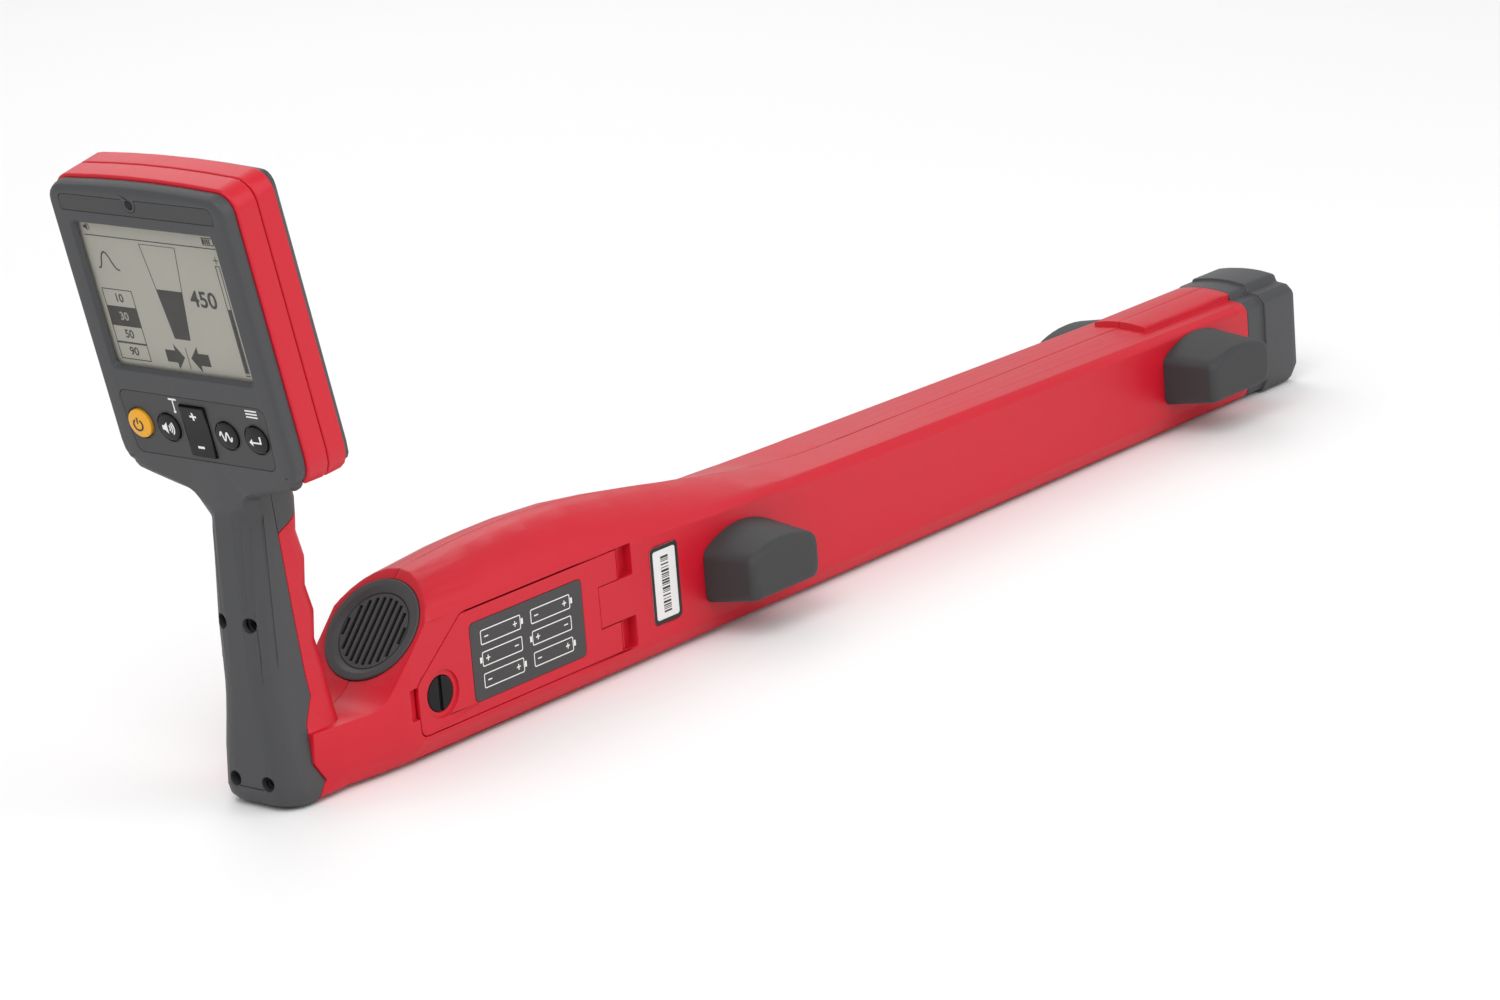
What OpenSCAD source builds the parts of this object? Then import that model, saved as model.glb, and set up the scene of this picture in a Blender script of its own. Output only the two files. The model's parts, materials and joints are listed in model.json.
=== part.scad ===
// Hand-held cable locator: a display head on a handle, and a long wand that carries crosswise aerials.
// Millimetres. +X runs along the wand to its tip, +Y to the left and +Z up.
// The origin is the middle of the pad under the handle, on the surface that the locator lies on.

/* [Wand] */
// Width across the flat sides
wand_w = 58; // [54:1:62]
// Length from the origin to the joint of the tip cap
wand_len = 750; // [735:1:790]
// Height of the flat side at the speaker end
side_rear_h = 64.5; // [63:0.5:67]
// Height of the flat side at the tip joint
side_tip_h = 53.5; // [51:0.5:56]
// Height of the crest over the battery bay
hump_h = 85.5; // [80:0.5:88]
// Height of the crest along the slim part
slim_h = 58.5; // [56:0.5:61]
// How far the crest still falls from the slim part to the tip joint
tip_fall = 2; // [1:0.5:3]
// Distance of the highest point of the crest from the origin
hump_x = 165; // [150:1:180]
// Distance at which the crest has come down to the slim part
slim_x = 400; // [360:1:440]
// Width of the wand where it meets the handle
tail_w = 46; // [43:1:50]
// Wall of the red and grey mouldings
wall = 3; // [2.6:0.2:3.2]
// Height of the pad and feet that the locator lies on
foot_h = 2; // [1:0.5:3]

/* [Handle] */
// Width of the grip
handle_w = 34; // [31:1:38]
// Depth of the handle at the bend of the neck
handle_d = 35.6; // [34:0.2:39]
// Distance of the front face ahead of the origin
handle_front = 16.4; // [15:0.2:18]
// Width of the handle at its base
base_w = 45; // [42:1:48]
// Rounding of the upright edges
handle_round = 12; // [9:1:14]
// Height of the bend where the neck turns into the head
neck_z = 139.3; // [135:0.1:145]
// Distance from one finger ridge to the next
finger_pitch = 26; // [23:1:28]
// Depth of the finger grooves
finger_depth = 2.6; // [1:0.2:3]
// Lean of the back of the grip, in degrees
grip_lean = 5; // [3:0.5:6]

/* [Head] */
// Width of the head
head_w = 109; // [106:1:116]
// Reach of the head above the middle of the display
head_up = 53.5; // [52:0.5:58]
// Reach of the head below the middle of the display
head_low = 83.5; // [82:0.5:86]
// Tilt of the head, in degrees
head_tilt = 12.5; // [10:0.1:14]
// Distance from the bend of the neck to the middle of the display
lcd_rise = 102.6; // [101:0.1:108]
// Depth of the grey bezel
bezel_d = 7; // [6:0.5:9]
// Depth of the red front ring
front_ring_d = 13; // [12:0.5:16]
// Depth of the red rear shell
rear_ring_d = 11; // [9:0.5:12]
// Depth of the grey back
back_d = 3; // [3:0.5:5]
// Width of the bezel beside the display
lcd_border = 12.25; // [12:0.25:16]
// Height of the visible display
lcd_h = 69; // [62:1:70]

/* [Keys] */
// Distance of the outer keys from the edge of the head
key_border = 18.5; // [18:0.5:20]
// Distance of the row of keys below the middle of the display
key_drop = 62.4; // [61:0.2:64]
// Radius of the round grey keys as a share of their distance
key_share = 0.36; // [0.32:0.01:0.37]
// Radius of the power key as a share of that distance
power_share = 0.383; // [0.34:0.001:0.39]
// Travel of the round keys
key_travel = 1; // [0.6:0.1:1.2]
// Width of the rocker as a share of that distance
rocker_share = 0.833; // [0.75:0.001:0.84]
// Height of the rocker
rocker_h = 24; // [21:0.5:25]

/* [Speaker] */
// Distance of the speaker's middle from the origin
speaker_x = 69.3; // [66:0.1:72]
// Height of the speaker's middle
speaker_z = 59.7; // [57:0.1:62]
// Lean of the speaker's face from upright, in degrees
speaker_tilt = 42.8; // [40:0.1:46]
// Diameter of the speaker's ring
ring_d = 52.6; // [50:0.2:54]
// Diameter of the grille
grille_d = 39; // [36:0.5:40]
// Number of slots in the grille
slot_count = 10; // [6:1:12]
// Width of a slot
slot_w = 1.9; // [1.2:0.1:2.2]

/* [Battery bay] */
// Distance of the door's hinge axis from the origin
hinge_x = 208; // [207:0.5:212]
// Length of the door from the hinge axis to its free end
door_len = 142; // [140:0.5:143]
// Height of the door's lower edge
door_z = 12.5; // [12:0.5:13]
// Height of the door
door_h = 50.5; // [49.5:0.5:51]
// Thickness of the door
door_t = 3; // [2.6:0.2:3]
// Diameter of a cell
cell_d = 14.5; // [13.5:0.1:14.5]
// Length of a cell
cell_len = 50.5; // [49:0.5:50.5]
// Diameter of the coin-slot screw's head
coin_d = 17; // [14:0.2:17.4]

/* [Aerial pods] */
// Length of a middle pod along the wand
pod_len = 58; // [54:1:62]
// How far a middle pod stands out from the side
pod_reach = 29; // [26:1:32]
// Height of a pod at its root
pod_root_h = 35.5; // [33:0.5:38]
// Length and reach of a tip pod as a share of a middle pod
tip_pod_share = 1.07; // [1:0.01:1.12]
// Distance of the middle pods' rear end from the origin
mid_pod_x = 271; // [268:1:280]
// Distance of the tip pods' rear end from the tip joint
tip_pod_back = 84; // [76:1:95]
// Diameter of the ferrite rods
rod_d = 10; // [8:0.5:11]

/* [Tip cap] */
// Length of the cap's collar
collar_len = 15; // [12:1:18]
// Length of the cap beyond its collar
nose_len = 33; // [28:1:38]
// How far the cap stands proud of its collar
nose_proud = 1.4; // [0.6:0.1:1.8]
// How far the spine rises above the crest
spine_h = 3.6; // [2.4:0.1:4.4]

/* [Hidden] */
$fn = 48;

// Colours of the mouldings and fittings
red = "#D22F3C";
grey = "#4C4D50";
dark = "#37383B";
black = "#1E1E20";
steel = "#B9BCC0";
board = "#2F6B45";

// Clearances, overruns and small sizes that many pieces share
over = 1;
reach = 1.4 * wand_len;
seam = 0.2;
fit = 0.3;
slide_fit = 0.25;
pin_fit = 0.05;
screw_r = 1.5;
screw_head_r = 2.8;
screw_head_h = 2;
screw_sink = 1.5;
sheet = 0.5;

// Section of the wand
taper_len = 62;
chamfer_w = 4;
chamfer_h = 8.5;
hump_back_fall = 18.5;
shoulder_share = 0.88;
shoulder_h = 5;
gable_power = 1.15;
roof_steps = 12;
inner_steps = 6;
wand_shares = [0, 0.35, 0.7, 1];
hump_shares = [0.13, 0.26, 0.39, 0.52, 0.65, 0.78, 0.9, 1];
rear_shares = [0.6, 0.8, 1];

// Handle and its seam with the red shells
toe_r = 9;
sole_r = 5;
flare_z = 10;
flare_h = 52;
ridge_z = 85;
corner_steps = 5;
handle_over = 32;
handle_top = neck_z + handle_over;
flat_least = 2;
handle_bore_w = handle_w - 2 * wall;
// Seam outline as shares of the handle's depth and of the neck's height
seam_shares = [[0.56, -0.05], [0.56, 0.015], [0.68, 0.07], [0.51, 0.135], [0.53, 0.265],
  [0.7, 0.35], [0.57, 0.64], [0.46, 0.91], [0.4, 1.05], [0.25, 1.4]];
seam_corner = 7;
// The grey tongue behind the neck starts on this line, in the same shares
tongue_shares = [1.25, 1.0];
hole_r = 3.5;
handle_hole_depth = 7;
handle_boss_r = 2.8;
handle_boss_x = 0.5 * wall + handle_hole_depth + seam - handle_front;
handle_boss_len = handle_d - wall - finger_depth + over - handle_front - handle_boss_x;
// Places of the handle's screws: sideways, and up
handle_screw_places = [[0.25 * handle_w, 0.627 * neck_z], [0.225 * base_w, 0.094 * neck_z]];

// Valley between the grip and the speaker
valley_r = 22;
valley_steps = 6;
rim_w = 0.7;
rim_low = 0.5 * ring_d + rim_w;
ring_t = 3;
ring_proud = 0.8;
driver_in = 5.8;
driver_r = 0.5 * ring_d - driver_in;

// Head, measured on its panel from the middle of the display
panel_x = -handle_front - lcd_rise * sin(head_tilt);
panel_z = neck_z + lcd_rise * cos(head_tilt);
head_round_top = 9;
head_arch = 1.6;
arch_points = 4;
ring_lip = 1.4;
back_inset = -0.8;
back_bevel = 3;
head_round_low = 14;
bezel_round = 4;
plate_t = 2.4;
neck_r = 14;
funnel_h = 20.5;
// Funnel outline, from the neck upwards, as shares of the head's width and of the funnel's height
funnel_shares = [[0.285, 1.3], [0.285, 1.0], [0.295, 0.86], [0.33, 0.7], [0.39, 0.57], [0.47, 0.48],
  [0.72, 0.29], [0.87, 0.11], [0.91, -0.1], [0.91, -0.4]];
ring_back = bezel_d + front_ring_d;
rear_back = ring_back + rear_ring_d;
lcd_w = head_w - 2 * lcd_border;
lcd_bevel = 2.6;
window_t = 1.5;
panel_t = 4.5;
window_margin = 3;
panel_margin = 4.5;
mat_front = 7.6;
board_gap = 1.5;
board_front = plate_t + window_t + panel_t + board_gap;
board_t = 1.6;
post_r = 3.6;
post_x = 0.5 * head_w - wall - post_r - fit;
post_places = [[post_x, 0.84 * head_up], [post_x, -0.56 * head_low], [-post_x, 0.84 * head_up],
  [-post_x, -0.56 * head_low]];
board_w = 2 * (post_x - post_r - over);
board_margin = 4;
board_up = head_up - wall - board_margin;
board_below = 11;
board_low = key_drop + board_below;

// Keys and the strip above the display
key_pitch = 0.25 * (head_w - 2 * key_border);
key_r = key_share * key_pitch;
power_r = power_share * key_pitch;
rocker_w = rocker_share * key_pitch;
overlay_border = 9.5;
overlay_w = head_w - 2 * overlay_border;
overlay_draft = 2;
overlay_low_w = overlay_w - 2 * overlay_draft;
overlay_rise = 16;
overlay_top = key_drop - overlay_rise;
overlay_h = 31;
overlay_round = 4;
recess = 0.8;
key_gap = 0.8;
key_proud = 1;
power_proud = 2;
flange = 0.05 * key_pitch;
flange_t = 1;
key_back = 6.2;
rocker_gap = 0.7;
rocker_proud = 1.2;
rocker_back = 5;
rocker_axle_r = 1.25;
rocker_axle_depth = 5;
lug_t = 0.11 * key_pitch;
strip_border = 7.5;
strip_w = head_w - 2 * strip_border;
strip_h = 8;
strip_drop = 8.4;
strip_mid = head_up - strip_drop;
sensor_x = -3;
sensor_r = 2;
sensor_notch_r = 3.6;
sensor_up = 1.6;

// Battery bay on the right side
side_y = 0.5 * wand_w;
hinge_y = -side_y + door_t + seam;
knuckle_r = 3;
pin_r = 1.25;
door_x = hinge_x - door_len;
door_top = door_z + door_h;
tab_h = 0.29 * door_h;
lug_back = 14;
pocket_len = 11;
pocket_depth = 5.2;
door_gap = 0.35;
door_slope = 32;
door_heel = 25;
door_round = 4;
coin_in = 15.5;
coin_x = door_x + coin_in;
coin_z = door_z + 0.33 * door_h;
coin_h = 3;
coin_sink = 1.2;
coin_rim = 2.8;
coin_boss = 1.8;
coin_slot_w = 2;
coin_slot_d = 1.3;
shank_r = 4;
shank_len = 10;
socket_fit = 0.6;
tray_wall = 1.2;
tray_in = 1.1;
tray_y = -side_y + wall + tray_in;
contact_t = 2;
cell_gap = 0.3;
cell_pitch = cell_d + cell_gap;
tray_len = 2 * cell_len + 2 * contact_t + 2 * tray_wall + 4 * cell_gap;
tray_gap = 6.4;
tray_x = hinge_x - tray_gap - tray_len;
tray_h = 3 * cell_pitch + 2 * tray_wall + cell_gap;
tray_z = door_z + 0.5 * (door_h - tray_h);
tray_d = cell_d + tray_wall + cell_gap;
cell_y = tray_y + 0.5 * cell_d;
nub_r = 2.7;
nub_h = 1.2;
scoop_r = 8;
scoop_depth = 2.2;
scoop_h = 15;
plate_in = 37;
plate_x = door_x + plate_in;
plate_len = 79;
plate_up = 5.2;
plate_z = door_z + plate_up;
plate_h = 38.7;
label_in = 24;
label_x = hinge_x + label_in;
label_len = 21;
label_up = 4.8;
label_z = door_z + label_up;
label_h = 39;
corner_r = 3;

// Aerials
pod_draft = 3;
pod_round = 5;
pod_edge = 3.6;
// Arch of a pod's top at its root and at its outer face
pod_arch = 9;
pod_tip_arch = 5;
pod_tip_drop = 5.5;
pod_tip_rise = 3.5;
pod_up = 15.5;
pod_z = foot_h + pod_up;
pod_steps = 14;
tip_pod_x = wand_len - tip_pod_back;
rod_z = pod_z + 0.5 * pod_root_h;
rod_share = 0.66;
winding_r = 8.4;
winding_end = 4;
axial_in = 5;
axial_x = slim_x + axial_in;
axial_share = 0.575;
axial_len = axial_share * (tip_pod_x - axial_x);
bracket_t = 5;
bracket_h = 38;
bracket_gap = 1;
bracket_w = wand_w - 2 * wall - 2 * chamfer_w - bracket_gap;
board_in = 4;
board_x = tray_x + board_in;
board_len = 128;
board_h = 40;
board_lift = 9;
board_z = foot_h + wall + board_lift;
board_off = 12;
board_y = side_y - wall - board_off;
boss_r = 3.4;
board_inset = 5;
// Places of the screws that hold the two red shells together
low_screw_z = foot_h + 0.26 * side_rear_h;
high_screw_z = foot_h + 0.45 * side_rear_h;
shell_screw_places = [[0.22 * hinge_x, low_screw_z], [1.15 * hinge_x, low_screw_z],
  [0.89 * slim_x, high_screw_z], [0.92 * tip_pod_x, high_screw_z]];

// Spine and tip
spine_len = 82;
spine_x = wand_len - spine_len;
spine_w = 34;
spine_fall = 1.9;
spine_step = 1.2;
// Half section of the spine as shares of its width and of its fall
spine_shares = [[0, 0], [0.25, 0.05], [0.5, 0.22], [0.8, 0.6], [0.94, 0.85], [1, 1.15]];
cap_gap = seam;
spigot_len = 8;
tip_foot_len = 20;
tip_foot_w = 24;
nose_shares = [1, 1, 0.965, 0.9];
nose_len_shares = [0, 0.78, 0.94, 1];

function mix(a, b, t) = a + (b - a) * t;
function smooth(t) = let (s = min(1, max(0, t))) s * s * (3 - 2 * s);
function arc(c, r, a0, a1, n) = [for (i = [0:n]) let (a = mix(a0, a1, i / n)) c + r * [cos(a), sin(a)]];
function round_rect(x0, y0, x1, y1, r_low, r_top, n) = concat(
  arc([x1 - r_low, y0 + r_low], r_low, -90, 0, n), arc([x1 - r_top, y1 - r_top], r_top, 0, 90, n),
  arc([x0 + r_top, y1 - r_top], r_top, 90, 180, n), arc([x0 + r_low, y0 + r_low], r_low, 180, 270, n));
// An outline with its corners rounded, one radius for each corner
function unit(v) = v / norm(v);
function corner(a, b, c, r) = let (u = unit(a - b), v = unit(c - b), half = 0.5 * acos(u * v),
  o = b + unit(u + v) * r / sin(half), p = b + u * r / tan(half) - o, q = b + v * r / tan(half) - o)
  [for (i = [0:corner_steps]) o + r * unit(mix(p, q, i / corner_steps))];
function rounded(points, radii) = let (k = len(points))
  [for (i = [0:k - 1]) each corner(points[(i + k - 1) % k], points[i], points[(i + 1) % k], radii[i])];
// How far a rounded lower edge of radius r draws in at height z
function edge_in(z, r) = let (d = r - min(r, max(0, z))) r - sqrt(r * r - d * d);

// Solid through a row of closed outlines that have the same number of points. The ends of an outline that
// is hollow in places, and the same on both sides, are filled in strips from side to side.
module loft(rings, paired = false) {
  k = len(rings[0]);
  n = len(rings);
  sides = [for (i = [0:n - 2], j = [0:k - 1]) let (a = i * k + j, b = i * k + (j + 1) % k)
    each [[a, b + k, b], [a, a + k, b + k]]];
  m = floor((k - 1) / 2);
  strips = [for (j = [0:m - 1]) [j, j + 1, k - 2 - j, k - 1 - j]];
  first = paired ? [for (f = strips) f[1] == f[2] ? [f[0], f[1], f[3]] : f] : [[for (j = [0:k - 1]) j]];
  last = [for (f = first) [for (j = [len(f) - 1:-1:0]) (n - 1) * k + f[j]]];
  polyhedron(points = [for (r = rings) each r], faces = concat(first, last, sides));
}

// An outline in X and Z, drawn out along Y
module along_y(length) { rotate([90, 0, 0]) linear_extrude(length, center = true) children(); }
// An outline in Y and Z, drawn out along X
module along_x(length) { rotate([90, 0, 90]) linear_extrude(length) children(); }
// Frame of the display panel: x to the right, y up, z out of the face
module on_panel() {
  translate([panel_x, 0, panel_z]) rotate([0, -head_tilt, 0]) rotate([90, 0, -90]) children();
}
// Frame of the speaker's face: x to the right, y up, z out of the face
module on_speaker() {
  translate([speaker_x, 0, speaker_z]) rotate([0, speaker_tilt, 0]) rotate([90, 0, -90]) children();
}
// Frame of a flat side: x along the wand, y up, z out of the side
module on_side(s) {
  mirror([0, s > 0 ? 1 : 0, 0]) translate([0, -side_y, 0]) rotate([90, 0, 0]) children();
}
module half_space(s) {
  translate([-reach, s > 0 ? 0 : -reach, -reach]) cube([2 * reach, reach, 2 * reach]);
}
// A screw along +Z whose head starts at zero, with a cross recess
module screw(length) {
  difference() {
    cylinder(r = screw_head_r, h = screw_head_h);
    for (a = [0, 90]) rotate(a) translate([0, 0, screw_head_h])
      cube([2 * screw_r, 0.5 * screw_r, screw_head_h], center = true);
  }
  translate([0, 0, -length]) cylinder(r = screw_r - pin_fit, h = length);
}

// Outer form of the wand
function half_w(x) = 0.5 * mix(tail_w, wand_w, smooth(x / taper_len));
function side_h(x) = mix(side_rear_h, side_tip_h, x / wand_len);
function crest(x) = x < hump_x ? hump_h - hump_back_fall * pow(1 - x / hump_x, 2) :
  mix(hump_h, slim_h, smooth((x - hump_x) / (slim_x - hump_x)))
  - tip_fall * max(0, x - slim_x) / (wand_len - slim_x);
// The roof is a round arch over the battery bay and turns into a gable with round shoulders
function arch_z(y, w, h) = let (r = (w * w + h * h) / (2 * h)) sqrt(max(0, r * r - y * y)) - r + h;
function gable_z(u, h) = u < shoulder_share ? h * (1 - pow(u / shoulder_share, gable_power)) :
  -shoulder_h * pow((u - shoulder_share) / (1 - shoulder_share), 2);
function roof(x, y, t) = let (w = half_w(x) - t, h = crest(x) - side_h(x), u = min(1, abs(y) / w))
  foot_h + side_h(x) - t + mix(arch_z(u * w, w, h), gable_z(u, h),
    smooth((x - hump_x) / (slim_x - hump_x)));
function wand_ring(x, t, n) = let (w = half_w(x) - t) concat(
  [[x, chamfer_w - w, foot_h + t], [x, w - chamfer_w, foot_h + t], [x, w, foot_h + chamfer_h]],
  [for (i = [0:n]) let (y = w * cos(180 * i / n)) [x, y, roof(x, y, t)]],
  [[x, -w, foot_h + chamfer_h]]);
wand_stations = concat([for (s = wand_shares) s * taper_len],
  [for (s = rear_shares) mix(taper_len, hump_x, s)],
  [for (s = hump_shares) mix(hump_x, slim_x, s)], [wand_len]);
inner_stations = concat([0.13 * taper_len, 0.5 * taper_len, taper_len, hump_x],
  [for (s = [0.25, 0.5, 0.75, 1]) mix(hump_x, slim_x, s)], [wand_len + over]);

// Side outline of the red body behind and below the speaker; t moves it inwards
function speaker_up(d) = d * [sin(speaker_tilt), cos(speaker_tilt)];
function speaker_in(d) = d * [cos(speaker_tilt), -sin(speaker_tilt)];
function body_outline(t) = let (p = [speaker_x, speaker_z] + speaker_in(t > 0 ? t + ring_t : 0),
  c = p - speaker_up(rim_low) - speaker_in(valley_r)) concat(
  [[-reach, -reach], [reach, -reach], [reach, p[1] + reach], p + speaker_up(reach)],
  arc(c, valley_r, -speaker_tilt, -90, valley_steps), [[-reach, c[1] - valley_r]]);

// Outer form of the handle
function front_x(z) = -handle_front + edge_in(z, toe_r) - max(0, z - neck_z) * tan(head_tilt);
function groove(z) = z < ridge_z - finger_pitch || z > neck_z - over ? 0 :
  0.5 * finger_depth * (1 - cos(360 * (z - ridge_z) / finger_pitch));
function rear_x(z) = handle_d - handle_front + max(0, neck_z - z) * tan(grip_lean)
  - max(0, z - neck_z) * tan(head_tilt) - groove(z);
function handle_half_w(z) = 0.5 * mix(base_w, handle_w, smooth((z - flare_z) / flare_h))
  - edge_in(z, sole_r);
function handle_ring(z) = let (w = handle_half_w(z), r = min(handle_round, w - flat_least)) [
  for (p = round_rect(front_x(z), -w, rear_x(z), w, r, r, corner_steps)) [p[0], p[1], z]];
handle_stations = concat([for (s = [0, 0.07, 0.2, 0.46, 1]) s * toe_r],
  [for (s = [0.35, 0.6, 0.8]) flare_z + s * flare_h],
  [for (i = [-4:1:7]) ridge_z + 0.25 * finger_pitch * i], [neck_z, handle_top]);
module handle_body() { loft([for (z = handle_stations) handle_ring(z)]); }
module handle_bore() {
  x0 = wall - handle_front;
  x1 = handle_d - handle_front - wall - finger_depth;
  w = 0.5 * handle_bore_w;
  r = handle_round - wall;
  translate([0, 0, foot_h + wall + over]) linear_extrude(neck_z - foot_h - wall)
    polygon(round_rect(x0, -w, x1, w, r, r, corner_steps));
}
// The head's own region above the neck, from a depth behind the panel's face
module above_neck(depth) {
  on_panel() translate([-head_w, -head_low - ring_lip - seam, -reach])
    cube([2 * head_w, reach, reach - depth]);
}
module neck_bore() {
  depth = handle_d * cos(head_tilt) - wall;
  on_panel() translate([-0.35 * handle_bore_w, -lcd_rise - over, -depth])
    cube([0.7 * handle_bore_w, lcd_rise + 2 * over - head_low + wall, depth - wall - over]);
}
function seam_point(s) = [s[0] * handle_d - handle_front, s[1] * neck_z];
seam_line = [for (s = seam_shares) seam_point(s)];
tongue_end = seam_point(tongue_shares);
// Region in front of the seam, and the regions behind it below and above the tongue's edge
module before_seam() { along_y(reach) polygon(concat(seam_line, [[-reach, reach], [-reach, -reach]])); }
module behind_seam() {
  line = [for (i = [0:seam_corner]) seam_line[i] + [seam, 0]];
  far = line[seam_corner] + reach * (tongue_end - line[seam_corner]) / norm(tongue_end - line[seam_corner]);
  along_y(reach) polygon(concat(line, [far, [reach, -reach]]));
}
module tongue_region() {
  low = seam_line[seam_corner] + [seam, 2 * seam];
  line = [for (i = [seam_corner + 1:len(seam_line) - 1]) seam_line[i] + [seam, 0]];
  far = low + reach * (tongue_end - seam_line[seam_corner]) / norm(tongue_end - seam_line[seam_corner]);
  along_y(reach) polygon(concat([low], line, [[far[0], reach], far]));
}

// Raised spine on the crest of the tip; its section is shared with the tip cap
spine_top = foot_h + slim_h - tip_fall + spine_h;
spine_half = [for (p = spine_shares) [0.5 * p[0] * spine_w, spine_top - p[1] * spine_fall]];
module spine() {
  low = foot_h + side_tip_h - wall;
  n = len(spine_half) - 1;
  translate([spine_x, 0, 0]) along_x(wand_len - spine_x) polygon(concat(spine_half,
    [[0.5 * spine_w, low], [-0.5 * spine_w, low]],
    [for (i = [n:-1:1]) [-spine_half[i][0], spine_half[i][1]]]));
}
// Low foot under the tip of the shells
module tip_foot() {
  translate([wand_len - tip_foot_len, -0.5 * tip_foot_w, 0])
    cube([tip_foot_len, tip_foot_w, foot_h + over]);
}
module wand_form() { loft([for (x = wand_stations) wand_ring(x, 0, roof_steps)]); }
module shell_skin() {
  intersection() {
    union() {
      intersection() {
        wand_form();
        along_y(reach) polygon(body_outline(0));
      }
      intersection() {
        handle_body();
        translate([-reach, -reach, foot_h]) cube([2 * reach, 2 * reach, reach]);
      }
      spine();
      tip_foot();
    }
    behind_seam();
  }
}
module shell_cavity() {
  intersection() {
    loft([for (x = inner_stations) wand_ring(x, wall, inner_steps)]);
    along_y(reach) polygon(body_outline(wall));
  }
  handle_bore();
}
// Door outline in X and Z; gap makes the opening that it sits in
module door_outline(gap) {
  x0 = door_x - gap;
  x1 = hinge_x;
  z0 = door_z - gap;
  z1 = door_top + gap;
  rise = door_h - door_heel;
  slant = norm([door_slope, rise]);
  slope_end = door_x + door_slope + gap * (door_slope - slant) / rise;
  heel_end = door_z + door_heel + gap * (slant - rise) / door_slope;
  polygon(rounded([[x0, z0], [x1, z0], [x1, z1], [slope_end, z1], [x0, heel_end]],
    [door_round, seam, seam, door_round, door_round]));
}
// Hinge tabs lie at the two ends of the door's height
module tab_heights(gap) {
  for (z = [door_z, door_top - tab_h]) translate([0, 0, z - gap])
    linear_extrude(tab_h + 2 * gap) children();
}
module hinge_block() {
  intersection() {
    wand_form();
    translate([hinge_x - knuckle_r - over, -side_y, door_z - wall])
      cube([pocket_len + 2 * knuckle_r + wall, pocket_depth + wall, door_h + 1.5 * wall]);
  }
}
module hinge_lug() {
  z0 = door_z + tab_h + door_gap;
  translate([hinge_x - lug_back, -side_y, z0])
    cube([lug_back + over, wall, door_h - 2 * tab_h - 2 * door_gap]);
}
module right_shell() {
  color(red) difference() {
    union() {
      difference() {
        shell_half(-1);
        on_side(-1) translate([0, 0, -wall - over]) linear_extrude(wall + 2 * over)
          door_outline(door_gap);
      }
      hinge_block();
      hinge_lug();
    }
    tab_heights(door_gap) union() {
      translate([hinge_x, hinge_y]) circle(r = knuckle_r + fit);
      translate([hinge_x - knuckle_r - 2 * over, -side_y - over])
        square([knuckle_r + pocket_len + 2 * over, over + hinge_y + side_y]);
      translate([hinge_x, -side_y - over]) square([pocket_len, pocket_depth + over]);
    }
    translate([hinge_x, hinge_y, 0]) cylinder(r = pin_r, h = reach);
    translate([door_x - seam, -side_y - scoop_r + scoop_depth, coin_z - 0.5 * scoop_h])
      cylinder(r = scoop_r, h = scoop_h);
    on_side(-1) translate([label_x, label_z, -sheet]) linear_extrude(sheet + over)
      polygon(round_rect(0, 0, label_len, label_h, corner_r, corner_r, corner_steps));
  }
}
module left_shell() { color(red) shell_half(1); }
module shell_half(s) {
  difference() {
    union() {
      difference() {
        intersection() {
          shell_skin();
          half_space(s);
        }
        shell_cavity();
      }
      for (p = shell_screw_places) translate([p[0], s * seam, p[1]]) rotate([-90 * s, 0, 0])
        cylinder(r = boss_r, h = half_w(p[0]) - 0.5 * wall);
      if (s > 0) board_bosses();
      for (p = handle_screw_places) translate([handle_boss_x, s * p[0], p[1]]) rotate([0, 90, 0])
        cylinder(r = handle_boss_r, h = handle_boss_len);
      translate([handle_boss_x + handle_boss_len - 2 * handle_boss_r,
        s * handle_screw_places[1][0] - 0.5 * handle_boss_r, foot_h + 0.5 * wall])
        cube([2 * handle_boss_r, handle_boss_r, handle_screw_places[1][1] - foot_h - 0.5 * wall]);
    }
    for (p = handle_screw_places) translate([handle_boss_x - over, s * p[0], p[1]]) rotate([0, 90, 0])
      cylinder(r = screw_r, h = 3 * wall);
    on_speaker() translate([0, 0, -ring_t]) cylinder(r = 0.5 * ring_d, h = ring_t + over);
    on_speaker() translate([0, 0, -ring_t - 2 * wall]) cylinder(r = driver_r + fit, h = 2 * wall + over);
    for (x = [mid_pod_x + 0.5 * pod_len, tip_pod_x + 0.5 * tip_pod_share * pod_len])
      translate([x, 0, rod_z]) rotate([-90 * s, 0, 0])
        cylinder(r = 0.5 * rod_d + slide_fit, h = side_y + over);
    for (p = shell_screw_places) translate([p[0], 0, p[1]]) rotate([-90 * s, 0, 0]) {
      cylinder(r = screw_r, h = s > 0 ? side_y + over : side_y - 2 * wall);
      if (s > 0) translate([0, 0, half_w(p[0]) - 2 * screw_head_h])
        cylinder(r = screw_head_r + fit, h = side_y);
    }
    if (s > 0) for (p = board_places) translate([p[0], board_y + board_t, p[1]]) rotate([-90, 0, 0])
      cylinder(r = screw_r, h = 2 * wall);
  }
}
board_places = [for (x = [board_x + board_inset, board_x + board_len - board_inset],
  z = [board_z + board_inset, board_z + board_h - board_inset]) [x, z]];
module board_bosses() {
  for (p = board_places) translate([p[0], board_y + board_t, p[1]]) rotate([-90, 0, 0])
    cylinder(r = boss_r, h = side_y - 0.5 * wall - board_y - board_t);
}
module shell_screws() {
  color(steel) for (p = shell_screw_places) translate([p[0], half_w(p[0]) - 2 * screw_head_h, p[1]])
    rotate([-90, 0, 0]) screw(half_w(p[0]) + over);
}

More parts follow.
